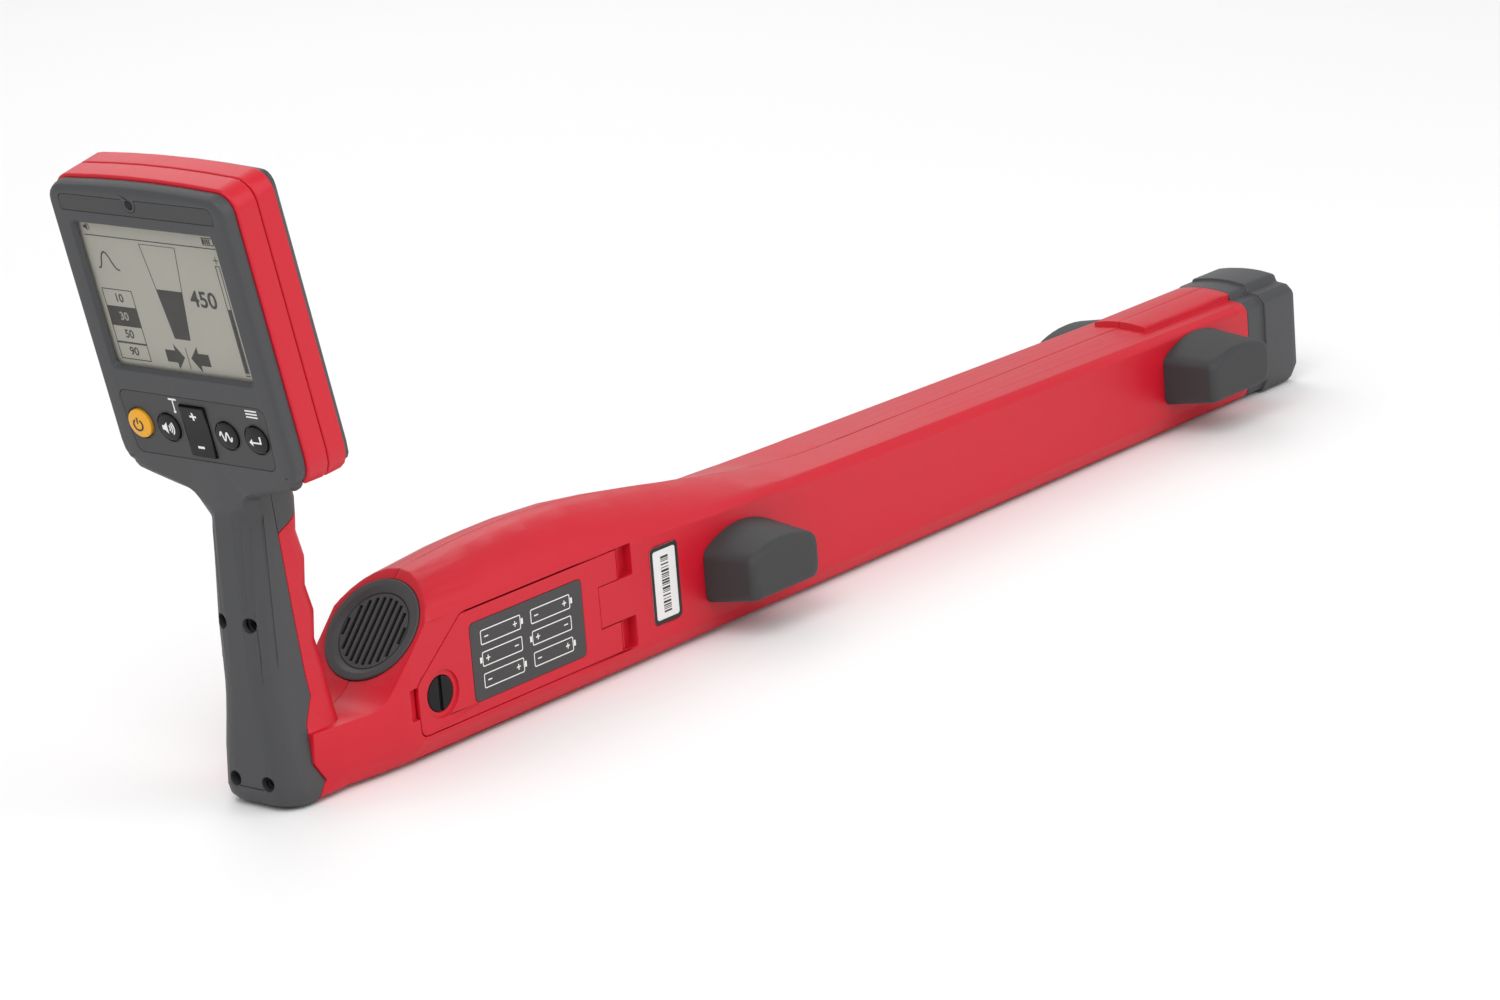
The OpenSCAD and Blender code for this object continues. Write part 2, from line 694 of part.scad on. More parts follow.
// Outline of the head on its panel, moved in by t
function head_outline(t) = let (w = 0.5 * head_w - t, top = head_up - t, low = t - head_low,
  r = head_round_top - t, k = head_round_low - t) concat(
  arc([w - k, low + k], k, -90, 0, corner_steps), arc([w - r, top - r], r, 0, 90, corner_steps),
  [for (i = [1:arch_points]) let (u = 1 - 2 * i / (arch_points + 1))
    [u * (w - r), top + head_arch * (1 - u * u)]],
  arc([r - w, top - r], r, 90, 180, corner_steps), arc([k - w, low + k], k, 180, 270, corner_steps));
function lifted(points, z) = [for (p = points) [p[0], p[1], z]];
// Funnel that leads from the head into the handle
function funnel(t) = let (right = [for (p = funnel_shares)
  [0.5 * p[0] * head_w - t, t - head_low - p[1] * funnel_h]])
  concat(right, [for (i = [len(right) - 1:-1:0]) [-right[i][0], right[i][1]]]);
module bezel_body() {
  edge = [[0, bezel_d], [0, bezel_round], [0.21 * bezel_round, 0.3 * bezel_round], [0.7 * bezel_round, 0]];
  for (f = [0, 1])
    loft([for (s = edge) lifted(f == 0 ? head_outline(s[0]) : funnel(s[0]), -s[1])], f == 1);
}
module head_ring(front, back) {
  translate([0, 0, -back]) linear_extrude(back - front) difference() {
    polygon(head_outline(-ring_lip));
    polygon(head_outline(wall));
  }
}
module front_shell() {
  color(grey) difference() {
    union() {
      difference() {
        union() {
          on_panel() bezel_body();
          difference() {
            intersection() {
              handle_body();
              before_seam();
            }
            above_neck(bezel_d);
          }
        }
        on_panel() translate([0, 0, -bezel_d - over]) linear_extrude(bezel_d + over - plate_t)
          polygon(head_outline(wall));
        handle_bore();
        neck_bore();
      }
      on_panel() for (p = post_places) translate([p[0], p[1], -board_front])
        cylinder(r = post_r, h = board_front - 0.5 * plate_t);
      for (p = handle_screw_places, s = [-1, 1]) translate([1.5 * wall - handle_front, s * p[0], p[1]])
        rotate([0, 90, 0]) cylinder(r = hole_r + 0.5 * wall, h = handle_hole_depth - wall);
      on_panel() for (s = [-1, 1]) translate([s * (0.5 * rocker_w + rocker_gap + 0.5 * lug_t) - 0.5 * lug_t,
        -key_drop - lug_t, -rocker_axle_depth - lug_t])
        cube([lug_t, 2 * lug_t, rocker_axle_depth + lug_t - 0.5 * plate_t]);
    }
    on_panel() {
      for (p = post_places) translate([p[0], p[1], -board_front - over])
        cylinder(r = screw_r, h = board_front);
      loft([for (t = [0, lcd_bevel]) lifted(round_rect(-0.5 * lcd_w - t, -0.5 * lcd_h - t,
        0.5 * lcd_w + t, 0.5 * lcd_h + t, corner_r, corner_r, corner_steps), t > 0 ? over : -plate_t)]);
      translate([-0.5 * lcd_w, -0.5 * lcd_h, -plate_t - over]) cube([lcd_w, lcd_h, over + seam]);
      translate([0, 0, -recess]) linear_extrude(recess + over) overlay_outline(0);
      for (i = [-2, -1, 1, 2]) key_place(i) translate([0, 0, -plate_t - over])
        cylinder(r = (i == -2 ? power_r : key_r) + slide_fit, h = plate_t + 2 * over);
      translate([-0.5 * rocker_w - rocker_gap, -key_drop - 0.5 * rocker_h - rocker_gap, -plate_t - over])
        cube([rocker_w + 2 * rocker_gap, rocker_h + 2 * rocker_gap, plate_t + 2 * over]);
      translate([-0.5 * rocker_w - lug_t - over, -key_drop, -rocker_axle_depth]) rotate([0, 90, 0])
        cylinder(r = rocker_axle_r + pin_fit, h = rocker_w + 2 * lug_t + 2 * over);
      translate([0, 0, -sheet - seam]) linear_extrude(sheet + over) strip_outline(0);
      translate([sensor_x, strip_mid + sensor_up, -plate_t - over])
        cylinder(r = sensor_r + slide_fit, h = plate_t + 2 * over);
    }
    for (p = handle_screw_places, s = [-1, 1]) translate([-handle_front - over, s * p[0], p[1]])
      rotate([0, 90, 0]) {
      cylinder(r = hole_r, h = handle_hole_depth + over);
      cylinder(r = screw_r, h = handle_hole_depth + wall + over);
    }
  }
}
module key_place(i) { translate([i * key_pitch, -key_drop, 0]) children(); }
module overlay_outline(t) {
  w = 0.5 * overlay_w - t;
  l = 0.5 * overlay_low_w - t;
  low = -overlay_top - overlay_h + t;
  r = overlay_round;
  polygon(concat(arc([l - r, low + r], r, -90, 0, corner_steps),
    arc([w - r, -overlay_top - t - r], r, 0, 90, corner_steps),
    arc([r - w, -overlay_top - t - r], r, 90, 180, corner_steps),
    arc([r - l, low + r], r, 180, 270, corner_steps)));
}
module strip_outline(t) {
  difference() {
    polygon(round_rect(t - 0.5 * strip_w, strip_mid - 0.5 * strip_h + t, 0.5 * strip_w - t,
      strip_mid + 0.5 * strip_h - t, over, corner_r, corner_steps));
    translate([sensor_x, strip_mid + sensor_up]) circle(r = sensor_notch_r + t);
    translate([sensor_x - sensor_notch_r - t, strip_mid + sensor_up])
      square([2 * (sensor_notch_r + t), strip_h]);
  }
}
module head_front_ring() { color(red) on_panel() head_ring(bezel_d + seam, ring_back - seam); }
module head_rear_shell() { color(red) on_panel() head_ring(ring_back, rear_back); }
module back_cover() {
  color(grey) difference() {
    union() {
      on_panel() loft([for (s = [[1, 1], [0.4, 0.2], [0, 0]])
        lifted(head_outline(mix(back_inset, back_bevel, s[1])), -rear_back - seam - s[0] * back_d)]);
      difference() {
        intersection() {
          handle_body();
          tongue_region();
        }
        handle_bore();
        neck_bore();
        above_neck(-reach);
      }
      on_panel() translate([-0.5 * handle_bore_w, -head_low - neck_r, -rear_back - seam - back_d]) {
        cube([handle_bore_w, neck_r + wall, back_d]);
        cube([handle_bore_w, neck_r - ring_lip - seam, back_d + 2 * wall]);
      }
    }
    on_panel() for (p = post_places) translate([p[0], p[1], -rear_back - back_d - over]) {
      cylinder(r = screw_r, h = back_d + 2 * over);
      cylinder(r = screw_head_r + fit, h = screw_sink + over);
    }
    neck_screw_frame() {
      cylinder(r = hole_r, h = wall);
      translate([0, 0, -2 * wall]) cylinder(r = screw_r, h = 3 * wall);
    }
  }
}
module neck_screw_frame() {
  z = 1.066 * neck_z;
  for (s = [-1, 1]) translate([rear_x(z) - wall, s * 0.28 * handle_w, z]) rotate([0, 90, 0]) children();
}
module neck_screws() { color(black) neck_screw_frame() screw(2 * wall); }
module head_screws() {
  color(black) on_panel() for (p = post_places) translate([p[0], p[1], -rear_back - back_d + screw_sink])
    rotate([180, 0, 0]) screw(rear_back + back_d - board_front + 2 * wall);
}
module handle_screws() {
  color(black) for (p = handle_screw_places, s = [-1, 1])
    translate([handle_hole_depth - handle_front, s * p[0], p[1]]) rotate([0, -90, 0]) screw(2 * wall);
}

// Display and keypad
module lcd_window() {
  color([0.75, 0.78, 0.76, 0.5]) on_panel()
    translate([-0.5 * lcd_w - window_margin, -0.5 * lcd_h - window_margin, -plate_t - window_t])
    cube([lcd_w + 2 * window_margin, lcd_h + 2 * window_margin, window_t]);
}
module lcd_panel() {
  color("#96928A") on_panel() translate([-0.5 * lcd_w - panel_margin, -0.5 * lcd_h - panel_margin,
    -plate_t - window_t - panel_t]) cube([lcd_w + 2 * panel_margin, lcd_h + 2 * panel_margin, panel_t]);
}
module label_strip() {
  color(dark) on_panel() translate([0, 0, -sheet - seam]) linear_extrude(sheet) strip_outline(seam);
}
module light_sensor() {
  color(black) on_panel() translate([sensor_x, strip_mid + sensor_up, -plate_t])
    cylinder(r = sensor_r, h = plate_t - seam);
}
module keypad_overlay() {
  color(dark) on_panel() translate([0, 0, -recess]) linear_extrude(recess - seam) difference() {
    overlay_outline(seam);
    for (i = [-2, -1, 1, 2]) key_place(i) circle(r = (i == -2 ? power_r : key_r) + key_gap);
    translate([-0.5 * rocker_w - rocker_gap, -key_drop - 0.5 * rocker_h - rocker_gap])
      square([rocker_w + 2 * rocker_gap, rocker_h + 2 * rocker_gap]);
  }
}
// A round key: domed cap, stem and the flange that keeps it behind the plate
module key(r, proud) {
  dome = 0.5 * proud;
  big = (r * r + dome * dome) / (2 * dome);
  intersection() {
    translate([0, 0, -key_back]) cylinder(r = r, h = key_back + proud);
    translate([0, 0, proud - big]) sphere(r = big);
  }
  translate([0, 0, -plate_t - fit - flange_t]) cylinder(r = r + flange, h = flange_t);
  translate([0, 0, -key_back]) cylinder(r = r, h = key_back - plate_t);
}
module power_button() { color("#EDB32C") on_panel() key_place(-2) key(power_r, power_proud); }
module sound_button() { color(dark) on_panel() key_place(-1) key(key_r, key_proud); }
module frequency_button() { color(dark) on_panel() key_place(1) key(key_r, key_proud); }
module enter_button() { color(dark) on_panel() key_place(2) key(key_r, key_proud); }
module rocker_key() {
  w = 0.5 * rocker_h;
  waist = 0.15 * rocker_h;
  color(black) on_panel() translate([0, -key_drop, 0]) {
    translate([-0.5 * rocker_w, 0, 0]) rotate([90, 0, 90]) linear_extrude(rocker_w)
      polygon([[-w, -rocker_back], [w, -rocker_back], [w, rocker_proud], [waist, 0.4 * rocker_proud],
        [-waist, 0.4 * rocker_proud], [-w, rocker_proud]]);
    translate([-0.5 * rocker_w - rocker_gap - lug_t, 0, -rocker_axle_depth]) rotate([0, 90, 0])
      cylinder(r = rocker_axle_r, h = rocker_w + 2 * rocker_gap + 2 * lug_t);
  }
}
module keypad_mat() {
  mat_w = 2 * (2 * key_pitch + power_r + flange);
  mat_h = rocker_h + 2 * over;
  color("#3A3B3D") on_panel() translate([-0.5 * mat_w, -key_drop - 0.5 * mat_h, -board_front])
    cube([mat_w, mat_h, board_front - mat_front]);
}
module display_board() {
  color(board) on_panel() translate([-0.5 * board_w, -board_low, -board_front - board_t])
    cube([board_w, board_low + board_up, board_t]);
}

// Speaker
module speaker_ring() {
  r = 0.5 * grille_d;
  color(grey) on_speaker() rotate_extrude() polygon([[r, -ring_t], [0.5 * ring_d - seam, -ring_t],
    [0.5 * ring_d - seam, 0.5 * ring_proud], [0.5 * ring_d - ring_proud, ring_proud],
    [r + ring_t, ring_proud], [r, -0.4 * ring_t]]);
}
module speaker_grille() {
  r = 0.5 * grille_d - seam;
  pitch = grille_d / slot_count;
  color(grey) on_speaker() translate([0, 0, -ring_t]) linear_extrude(0.6 * ring_t) difference() {
    circle(r = r);
    for (i = [0:slot_count - 1]) let (x = (i - 0.5 * (slot_count - 1)) * pitch)
      let (y = sqrt(pow(r - over, 2) - x * x) - 0.5 * slot_w) translate([x - 0.5 * slot_w, -y])
        square([slot_w, 2 * y]);
  }
}
module speaker_gasket() {
  color(black) on_speaker() translate([0, 0, -ring_t - recess]) difference() {
    cylinder(r = driver_r, h = recess);
    translate([0, 0, -over]) cylinder(r = driver_r - wall, h = recess + 2 * over);
  }
}
module speaker_driver() {
  z = -ring_t - recess;
  r = driver_r;
  color("#55565A") on_speaker() rotate_extrude() polygon([[0, z - 0.3 * r], [0.8 * r, z - 0.05 * r],
    [0.85 * r, z], [r, z], [r, z - 0.1 * r], [0.9 * r, z - 0.1 * r], [0.62 * r, z - 0.34 * r],
    [0.6 * r, z - 0.34 * r], [0.6 * r, z - 0.52 * r], [0, z - 0.52 * r]]);
}

// Battery bay
module battery_door() {
  color(red) difference() {
    union() {
      difference() {
        on_side(-1) translate([0, 0, -door_t]) linear_extrude(door_t) door_outline(0);
        translate([hinge_x - lug_back - door_gap, -side_y - over, door_z + tab_h])
          cube([lug_back + over, door_t + 2 * over, door_h - 2 * tab_h]);
      }
      tab_heights(0) translate([hinge_x, hinge_y]) circle(r = knuckle_r);
      on_side(-1) translate([0, 0, -door_t - coin_h]) intersection() {
        translate([coin_x, coin_z, 0]) cylinder(r = 0.5 * coin_d + coin_boss, h = coin_h + over);
        linear_extrude(coin_h + over) door_outline(0);
      }
    }
    translate([hinge_x, hinge_y, 0]) cylinder(r = pin_r + pin_fit, h = reach);
    on_side(-1) translate([coin_x, coin_z, -coin_h - coin_sink]) {
      cylinder(r = 0.5 * coin_d + fit, h = coin_h + coin_sink + over);
      translate([0, 0, -reach]) cylinder(r = shank_r + slide_fit, h = reach + over);
      translate([0, 0, coin_h]) cylinder(r = 0.5 * coin_d + coin_rim, h = coin_sink + over);
    }
    on_side(-1) translate([plate_x, plate_z, -sheet]) linear_extrude(sheet + over)
      polygon(round_rect(0, 0, plate_len, plate_h, corner_r, corner_r, corner_steps));
  }
}
module door_hinge_pin() {
  color(steel) translate([hinge_x, hinge_y, door_z + over]) cylinder(r = pin_r, h = door_h - 2 * over);
}
module door_screw() {
  color(black) on_side(-1) translate([coin_x, coin_z, -coin_h - coin_sink]) difference() {
    union() {
      cylinder(r = 0.5 * coin_d, h = coin_h);
      translate([0, 0, -shank_len]) cylinder(r = shank_r, h = shank_len + over);
    }
    translate([-0.5 * coin_slot_w, -0.5 * coin_d - over, coin_h - coin_slot_d])
      cube([coin_slot_w, coin_d + 2 * over, coin_slot_d + over]);
  }
}
module door_seal() {
  x0 = tray_x;
  x1 = hinge_x - lug_back - 2 * over;
  z0 = tray_z;
  z1 = tray_z + tray_h;
  color(black) on_side(-1) translate([0, 0, -door_t - recess]) linear_extrude(recess) difference() {
    polygon(round_rect(x0, z0, x1, z1, over, over, corner_steps));
    polygon(round_rect(x0 + over, z0 + over, x1 - over, z1 - over, 0.5 * over, 0.5 * over, corner_steps));
  }
}
module door_plate() {
  color(dark) on_side(-1) translate([plate_x + seam, plate_z + seam, -sheet]) linear_extrude(sheet)
    polygon(round_rect(0, 0, plate_len - 2 * seam, plate_h - 2 * seam, corner_r, corner_r, corner_steps));
}
module side_label() {
  color("white") on_side(-1) translate([label_x + seam, label_z + seam, -sheet]) linear_extrude(sheet)
    polygon(round_rect(0, 0, label_len - 2 * seam, label_h - 2 * seam, corner_r, corner_r, corner_steps));
}
module battery_tray() {
  socket_w = 2 * (shank_r + wall);
  socket_y = -side_y + door_t + coin_h + fit;
  color(black) difference() {
    union() {
      translate([tray_x, tray_y, tray_z]) cube([tray_len, tray_d, tray_h]);
      translate([coin_x - 0.5 * socket_w, socket_y, coin_z - 0.5 * socket_w])
        cube([tray_x + over - coin_x + 0.5 * socket_w, shank_len, socket_w]);
    }
    translate([tray_x + tray_wall, tray_y - over, tray_z + tray_wall])
      cube([tray_len - 2 * tray_wall, tray_d - tray_wall + over, tray_h - 2 * tray_wall]);
    translate([coin_x, socket_y - over, coin_z]) rotate([-90, 0, 0])
      cylinder(r = shank_r + socket_fit, h = reach);
  }
}
function cell_z(k) = tray_z + tray_wall + (k + 0.5) * cell_pitch + 0.5 * cell_gap;
module cell_places() {
  first = tray_x + tray_wall + contact_t + cell_gap;
  for (i = [0, 1], k = [0:2]) translate([first + i * (cell_len + cell_gap), cell_y, cell_z(k)])
    rotate([0, 90, 0]) children();
}
module battery_cells() {
  color("#8E9094") cell_places() {
    cylinder(r = 0.5 * cell_d, h = cell_len - nub_h);
    cylinder(r = nub_r, h = cell_len);
  }
}
module battery_contacts() {
  color(steel) for (x = [tray_x + tray_wall, tray_x + tray_len - tray_wall - contact_t], k = [0:2])
    translate([x, cell_y, cell_z(k)]) rotate([0, 90, 0]) cylinder(r = 0.4 * cell_d, h = contact_t);
}

// Aerials and receiver
// Section of a pod at share u of its reach, moved in by t: flat below, round corners and an arched top
function pod_ring(k, u, t) = let (w = 0.5 * k * pod_len - pod_draft * u - t,
  low = pod_z + pod_tip_rise * u + t, top = pod_z + pod_root_h - pod_tip_drop * u - t,
  sag = mix(pod_arch, pod_tip_arch, u), y = k * pod_reach * u) concat(
  [for (p = arc([w - pod_round, low + pod_round], pod_round, -90, 0, corner_steps)) [p[0], y, p[1]]],
  [for (i = [0:pod_steps]) let (c = cos(180 * i / pod_steps), x = w * c)
    [x, y, top - sag * c * c - edge_in(w - abs(x), pod_edge)]],
  [for (p = arc([pod_round - w, low + pod_round], pod_round, 180, 270, corner_steps)) [p[0], y, p[1]]]);
module pod(x, s, k) {
  out = k * pod_reach;
  color(dark) mirror([0, s < 0 ? 1 : 0, 0]) translate([x + 0.5 * k * pod_len, side_y, 0]) difference() {
    loft(concat([for (a = [90, 60, 30, 0])
      pod_ring(k, 1 - pod_edge * (1 - sin(a)) / out, pod_edge * (1 - cos(a)))], [pod_ring(k, 0, 0)]));
    translate([0, -over, rod_z]) rotate([-90, 0, 0])
      cylinder(r = 0.5 * rod_d + slide_fit, h = rod_share * out + over + fit);
  }
}
module mid_pod_right() { pod(mid_pod_x, -1, 1); }
module mid_pod_left() { pod(mid_pod_x, 1, 1); }
module tip_pod_right() { pod(tip_pod_x, -1, tip_pod_share); }
module tip_pod_left() { pod(tip_pod_x, 1, tip_pod_share); }
module cross_rod(x, k) {
  half = side_y + rod_share * k * pod_reach;
  color("#3B3B3E") translate([x + 0.5 * k * pod_len, -half, rod_z]) rotate([-90, 0, 0])
    cylinder(r = 0.5 * rod_d, h = 2 * half);
}
module cross_winding(x, k) {
  w = side_y - wall - winding_end;
  color("#B0643A") translate([x + 0.5 * k * pod_len, -w, rod_z]) rotate([-90, 0, 0]) difference() {
    cylinder(r = winding_r, h = 2 * w);
    translate([0, 0, -over]) cylinder(r = 0.5 * rod_d + pin_fit, h = 2 * w + 2 * over);
  }
}
module mid_coil_rod() { cross_rod(mid_pod_x, 1); }
module tip_coil_rod() { cross_rod(tip_pod_x, tip_pod_share); }
module mid_coil_winding() { cross_winding(mid_pod_x, 1); }
module tip_coil_winding() { cross_winding(tip_pod_x, tip_pod_share); }
module axial_coil() {
  color("#B0643A") translate([axial_x, 0, rod_z]) rotate([0, 90, 0]) {
    cylinder(r = 0.5 * rod_d, h = axial_len);
    translate([0, 0, 0.15 * axial_len]) cylinder(r = winding_r, h = 0.7 * axial_len);
  }
}
module axial_brackets() {
  color(dark) for (x = [axial_x + over, axial_x + axial_len - bracket_t - over]) difference() {
    translate([x, -0.5 * bracket_w, foot_h + wall + seam]) cube([bracket_t, bracket_w, bracket_h]);
    translate([x - over, 0, rod_z]) rotate([0, 90, 0])
      cylinder(r = 0.5 * rod_d + pin_fit, h = bracket_t + 2 * over);
  }
}
module receiver_board() {
  color(board) difference() {
    translate([board_x, board_y, board_z]) cube([board_len, board_t, board_h]);
    for (p = board_places) translate([p[0], board_y - over, p[1]]) rotate([-90, 0, 0])
      cylinder(r = screw_r, h = board_t + 2 * over);
  }
}
module board_screws() {
  color(steel) for (p = board_places) translate([p[0], board_y, p[1]]) rotate([90, 0, 0])
    screw(board_t + wall);
}

// Tip cap: collar, proud nose with a ridge on top and a foot below, and a spigot inside the shells
cap_half = let (w = 0.5 * wand_w, e = foot_h + side_tip_h, n = len(spine_half) - 1,
  b = 0.5 * spine_w + spine_step)
  concat([[w - chamfer_w, foot_h], [w, foot_h + chamfer_h], [w, e - shoulder_h],
    [0.97 * w, e - 0.6 * shoulder_h], [0.86 * w, e], [b, roof(wand_len, b, 0)]],
    [for (i = [n:-1:1]) spine_half[i]]);
cap_outline = concat(cap_half, [spine_half[0]],
  [for (i = [len(cap_half) - 1:-1:0]) [-cap_half[i][0], cap_half[i][1]]]);
cap_mid = 0.5 * (foot_h + side_tip_h);
function cap_ring(x, k) = [for (p = cap_outline) [x, k * p[0], cap_mid + k * (p[1] - cap_mid)]];
module tip_cap() {
  x0 = wand_len + cap_gap;
  x1 = x0 + collar_len;
  proud = 1 + 2 * nose_proud / wand_w;
  color(grey) difference() {
    union() {
      loft([cap_ring(x0, 1), cap_ring(x1 + over, 1)], true);
      loft([for (i = [0:len(nose_shares) - 1])
        cap_ring(x1 + nose_len_shares[i] * nose_len, proud * nose_shares[i])], true);
      loft([for (x = [wand_len - spigot_len, x0 + over])
        [for (p = wand_ring(wand_len, wall + fit, inner_steps)) [x, p[1], p[2]]]]);
      translate([x0, -0.5 * tip_foot_w, 0]) cube([collar_len, tip_foot_w, foot_h + over]);
    }
    loft([for (x = [wand_len - spigot_len - over, x1 + 0.6 * nose_len])
      [for (p = wand_ring(wand_len, 2 * wall + fit, inner_steps)) [x, p[1], p[2]]]]);
    translate([x1, -reach, -reach]) cube([nose_len, 2 * reach, reach]);
  }
}

front_shell();
head_front_ring();
head_rear_shell();
back_cover();
head_screws();
lcd_window();
lcd_panel();
label_strip();
light_sensor();
keypad_overlay();
power_button();
sound_button();
rocker_key();
frequency_button();
enter_button();
keypad_mat();
display_board();
handle_screws();
neck_screws();
right_shell();
left_shell();
shell_screws();
speaker_ring();
speaker_grille();
speaker_gasket();
speaker_driver();
battery_door();
door_hinge_pin();
door_screw();
door_seal();
door_plate();
side_label();
battery_tray();
battery_cells();
battery_contacts();
receiver_board();
board_screws();
mid_pod_right();
mid_pod_left();
tip_pod_right();
tip_pod_left();
mid_coil_rod();
mid_coil_winding();
tip_coil_rod();
tip_coil_winding();
axial_coil();
axial_brackets();
tip_cap();
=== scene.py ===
"""Looks of a hand-held cable locator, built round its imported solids."""
import json
import logging
import math
from collections.abc import Callable
from dataclasses import dataclass
from enum import Enum

import bpy
from mathutils import Euler, Matrix, Vector


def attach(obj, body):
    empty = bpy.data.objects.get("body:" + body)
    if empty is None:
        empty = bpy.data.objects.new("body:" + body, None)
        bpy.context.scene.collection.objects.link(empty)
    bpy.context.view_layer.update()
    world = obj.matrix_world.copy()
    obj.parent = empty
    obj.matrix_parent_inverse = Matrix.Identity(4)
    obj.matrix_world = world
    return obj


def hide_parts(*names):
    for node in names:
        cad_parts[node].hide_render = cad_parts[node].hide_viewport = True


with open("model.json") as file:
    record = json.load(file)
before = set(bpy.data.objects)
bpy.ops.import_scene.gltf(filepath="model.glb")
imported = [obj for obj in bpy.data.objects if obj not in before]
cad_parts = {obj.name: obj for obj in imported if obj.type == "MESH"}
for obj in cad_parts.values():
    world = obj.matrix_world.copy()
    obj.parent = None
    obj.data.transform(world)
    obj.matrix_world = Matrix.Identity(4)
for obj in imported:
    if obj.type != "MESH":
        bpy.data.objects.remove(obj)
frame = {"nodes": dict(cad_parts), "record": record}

log = logging.getLogger("cable_locator")

MM = 0.001
MERGE_GAP = 0.00001
PRINT_MERGE_GAP = 0.000002
FLAT_ANGLE = 0.1
SMOOTH_ANGLE = 40.0
SAME_WAY = 0.9999
NOISE_MIDDLE = 0.5
Point = tuple[float, float]
Points = tuple[Point, ...]
Outline = list[Point]
Triple = tuple[float, float, float]
Colour = Triple
Area = tuple[float, float, float, float]
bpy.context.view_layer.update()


class Body(Enum):
    """Bodies of the locator that a piece can move with."""

    HOUSING = "housing"
    DOOR = "battery_door"
    DOOR_SCREW = "door_screw"
    POWER = "power_button"
    SOUND = "sound_button"
    FREQUENCY = "frequency_button"
    ENTER = "enter_button"
    ROCKER = "rocker_key"


class Ink(Enum):
    """Finishes of print and trim, which no slot of the record has."""

    SEGMENT = "segment"
    PALE = "pale_ink"
    WHITE = "white_ink"
    BLACK = "black_ink"
    FRAME = "frame_black"


class Value:
    """One output of a shader node; arithmetic on it adds Math nodes."""

    def __init__(self, shader: "Shader", socket: bpy.types.NodeSocket) -> None:
        """Keeps the shader that the output belongs to."""
        self.shader = shader
        self.socket = socket

    def _math(self, operation: str, first: "Value | float", second: "Value | float") -> "Value":
        """Adds one Math node and returns its result."""
        return self.shader.value("ShaderNodeMath", {"operation": operation}, {0: first, 1: second})

    def __add__(self, other: "Value | float") -> "Value":
        """Sum."""
        return self._math("ADD", self, other)

    __radd__ = __add__

    def __sub__(self, other: "Value | float") -> "Value":
        """Difference."""
        return self._math("SUBTRACT", self, other)

    def __rsub__(self, other: float) -> "Value":
        """Difference from a number."""
        return self._math("SUBTRACT", other, self)

    def __mul__(self, other: "Value | float") -> "Value":
        """Product."""
        return self._math("MULTIPLY", self, other)

    __rmul__ = __mul__


class Shader:
    """Node tree of one material."""

    def __init__(self, name: str) -> None:
        """Starts an empty material that reads Object coordinates.

        Args:
            name: name of the material.
        """
        self.material = bpy.data.materials.new(name)
        self.material.use_nodes = True
        self.tree = self.material.node_tree
        self.tree.nodes.clear()
        self.coords = self.value("ShaderNodeTexCoord", {}, {}, "Object")

    def node(self, kind: str, settings: dict[str, object],
             inputs: dict[int | str, object]) -> bpy.types.Node:
        """Adds a node.

        Args:
            kind: Blender's name of the node type.
            settings: properties of the node, set first.
            inputs: numbers, colours or Values for its sockets.

        Returns:
            The node.
        """
        made = self.tree.nodes.new(kind)
        for key, setting in settings.items():
            setattr(made, key, setting)
        for key, given in inputs.items():
            if isinstance(given, Value):
                self.tree.links.new(given.socket, made.inputs[key])
            else:
                made.inputs[key].default_value = given
        return made

    def value(self, kind: str, settings: dict[str, object], inputs: dict[int | str, object],
              output: int | str = 0) -> Value:
        """Adds a node and returns one of its outputs."""
        return Value(self, self.node(kind, settings, inputs).outputs[output])

    def noise(self, size: float, detail: float) -> Value:
        """Adds a noise whose features are about that size, in metres."""
        inputs = {"Vector": self.coords, "Scale": 1.0 / size, "Detail": detail}
        return self.value("ShaderNodeTexNoise", {}, inputs, "Fac")

    def mix(self, factor: Value, first: Colour, second: Colour) -> Value:
        """Blends two colours by a factor that varies over the surface."""
        inputs = {0: factor, 6: (*first, 1.0), 7: (*second, 1.0)}
        return self.value("ShaderNodeMix", {"data_type": "RGBA"}, inputs, 2)

    def surface(self, inputs: dict[int | str, object]) -> bpy.types.Material:
        """Ends the tree in a Principled shader.

        Args:
            inputs: numbers, colours or Values for its sockets.

        Returns:
            The finished material.
        """
        shader = self.node("ShaderNodeBsdfPrincipled", {}, inputs)
        end = self.tree.nodes.new("ShaderNodeOutputMaterial")
        self.tree.links.new(shader.outputs["BSDF"], end.inputs["Surface"])
        return self.material


def shade(colour: Colour, factor: float) -> Colour:
    """Makes a colour lighter or darker."""
    return tuple(min(1.0, c * factor) for c in colour)


@dataclass(frozen=True)
class Moulding:
    """Moulded plastic or rubber with an eroded grain and a faint cloud of tones."""

    name: str
    colour: Colour
    roughness: float
    grain: float = 0.0007
    grain_depth: float = 0.00004
    mottle: float = 0.05
    specular: float = 0.5
    grain_detail: float = 1.5
    grain_wear: float = 0.18
    bump: float = 0.6
    cloud: float = 0.06
    cloud_detail: float = 3.0
    cloud_wear: float = 0.1

    def material(self) -> bpy.types.Material:
        """Builds the material.

        Returns:
            The material.
        """
        s = Shader(self.name)
        fine = s.noise(self.grain, self.grain_detail)
        cloud = s.noise(self.cloud, self.cloud_detail)
        relief = {"Strength": self.bump, "Distance": self.grain_depth, "Height": fine}
        dark, light = shade(self.colour, 1 - self.mottle), shade(self.colour, 1 + self.mottle)
        wear = (fine - NOISE_MIDDLE) * self.grain_wear
        return s.surface({
            "Base Color": s.mix(cloud, dark, light),
            "Roughness": self.roughness + wear + (cloud - NOISE_MIDDLE) * self.cloud_wear,
            "Specular IOR Level": self.specular,
            "Normal": s.value("ShaderNodeBump", {}, relief, "Normal"),
        })


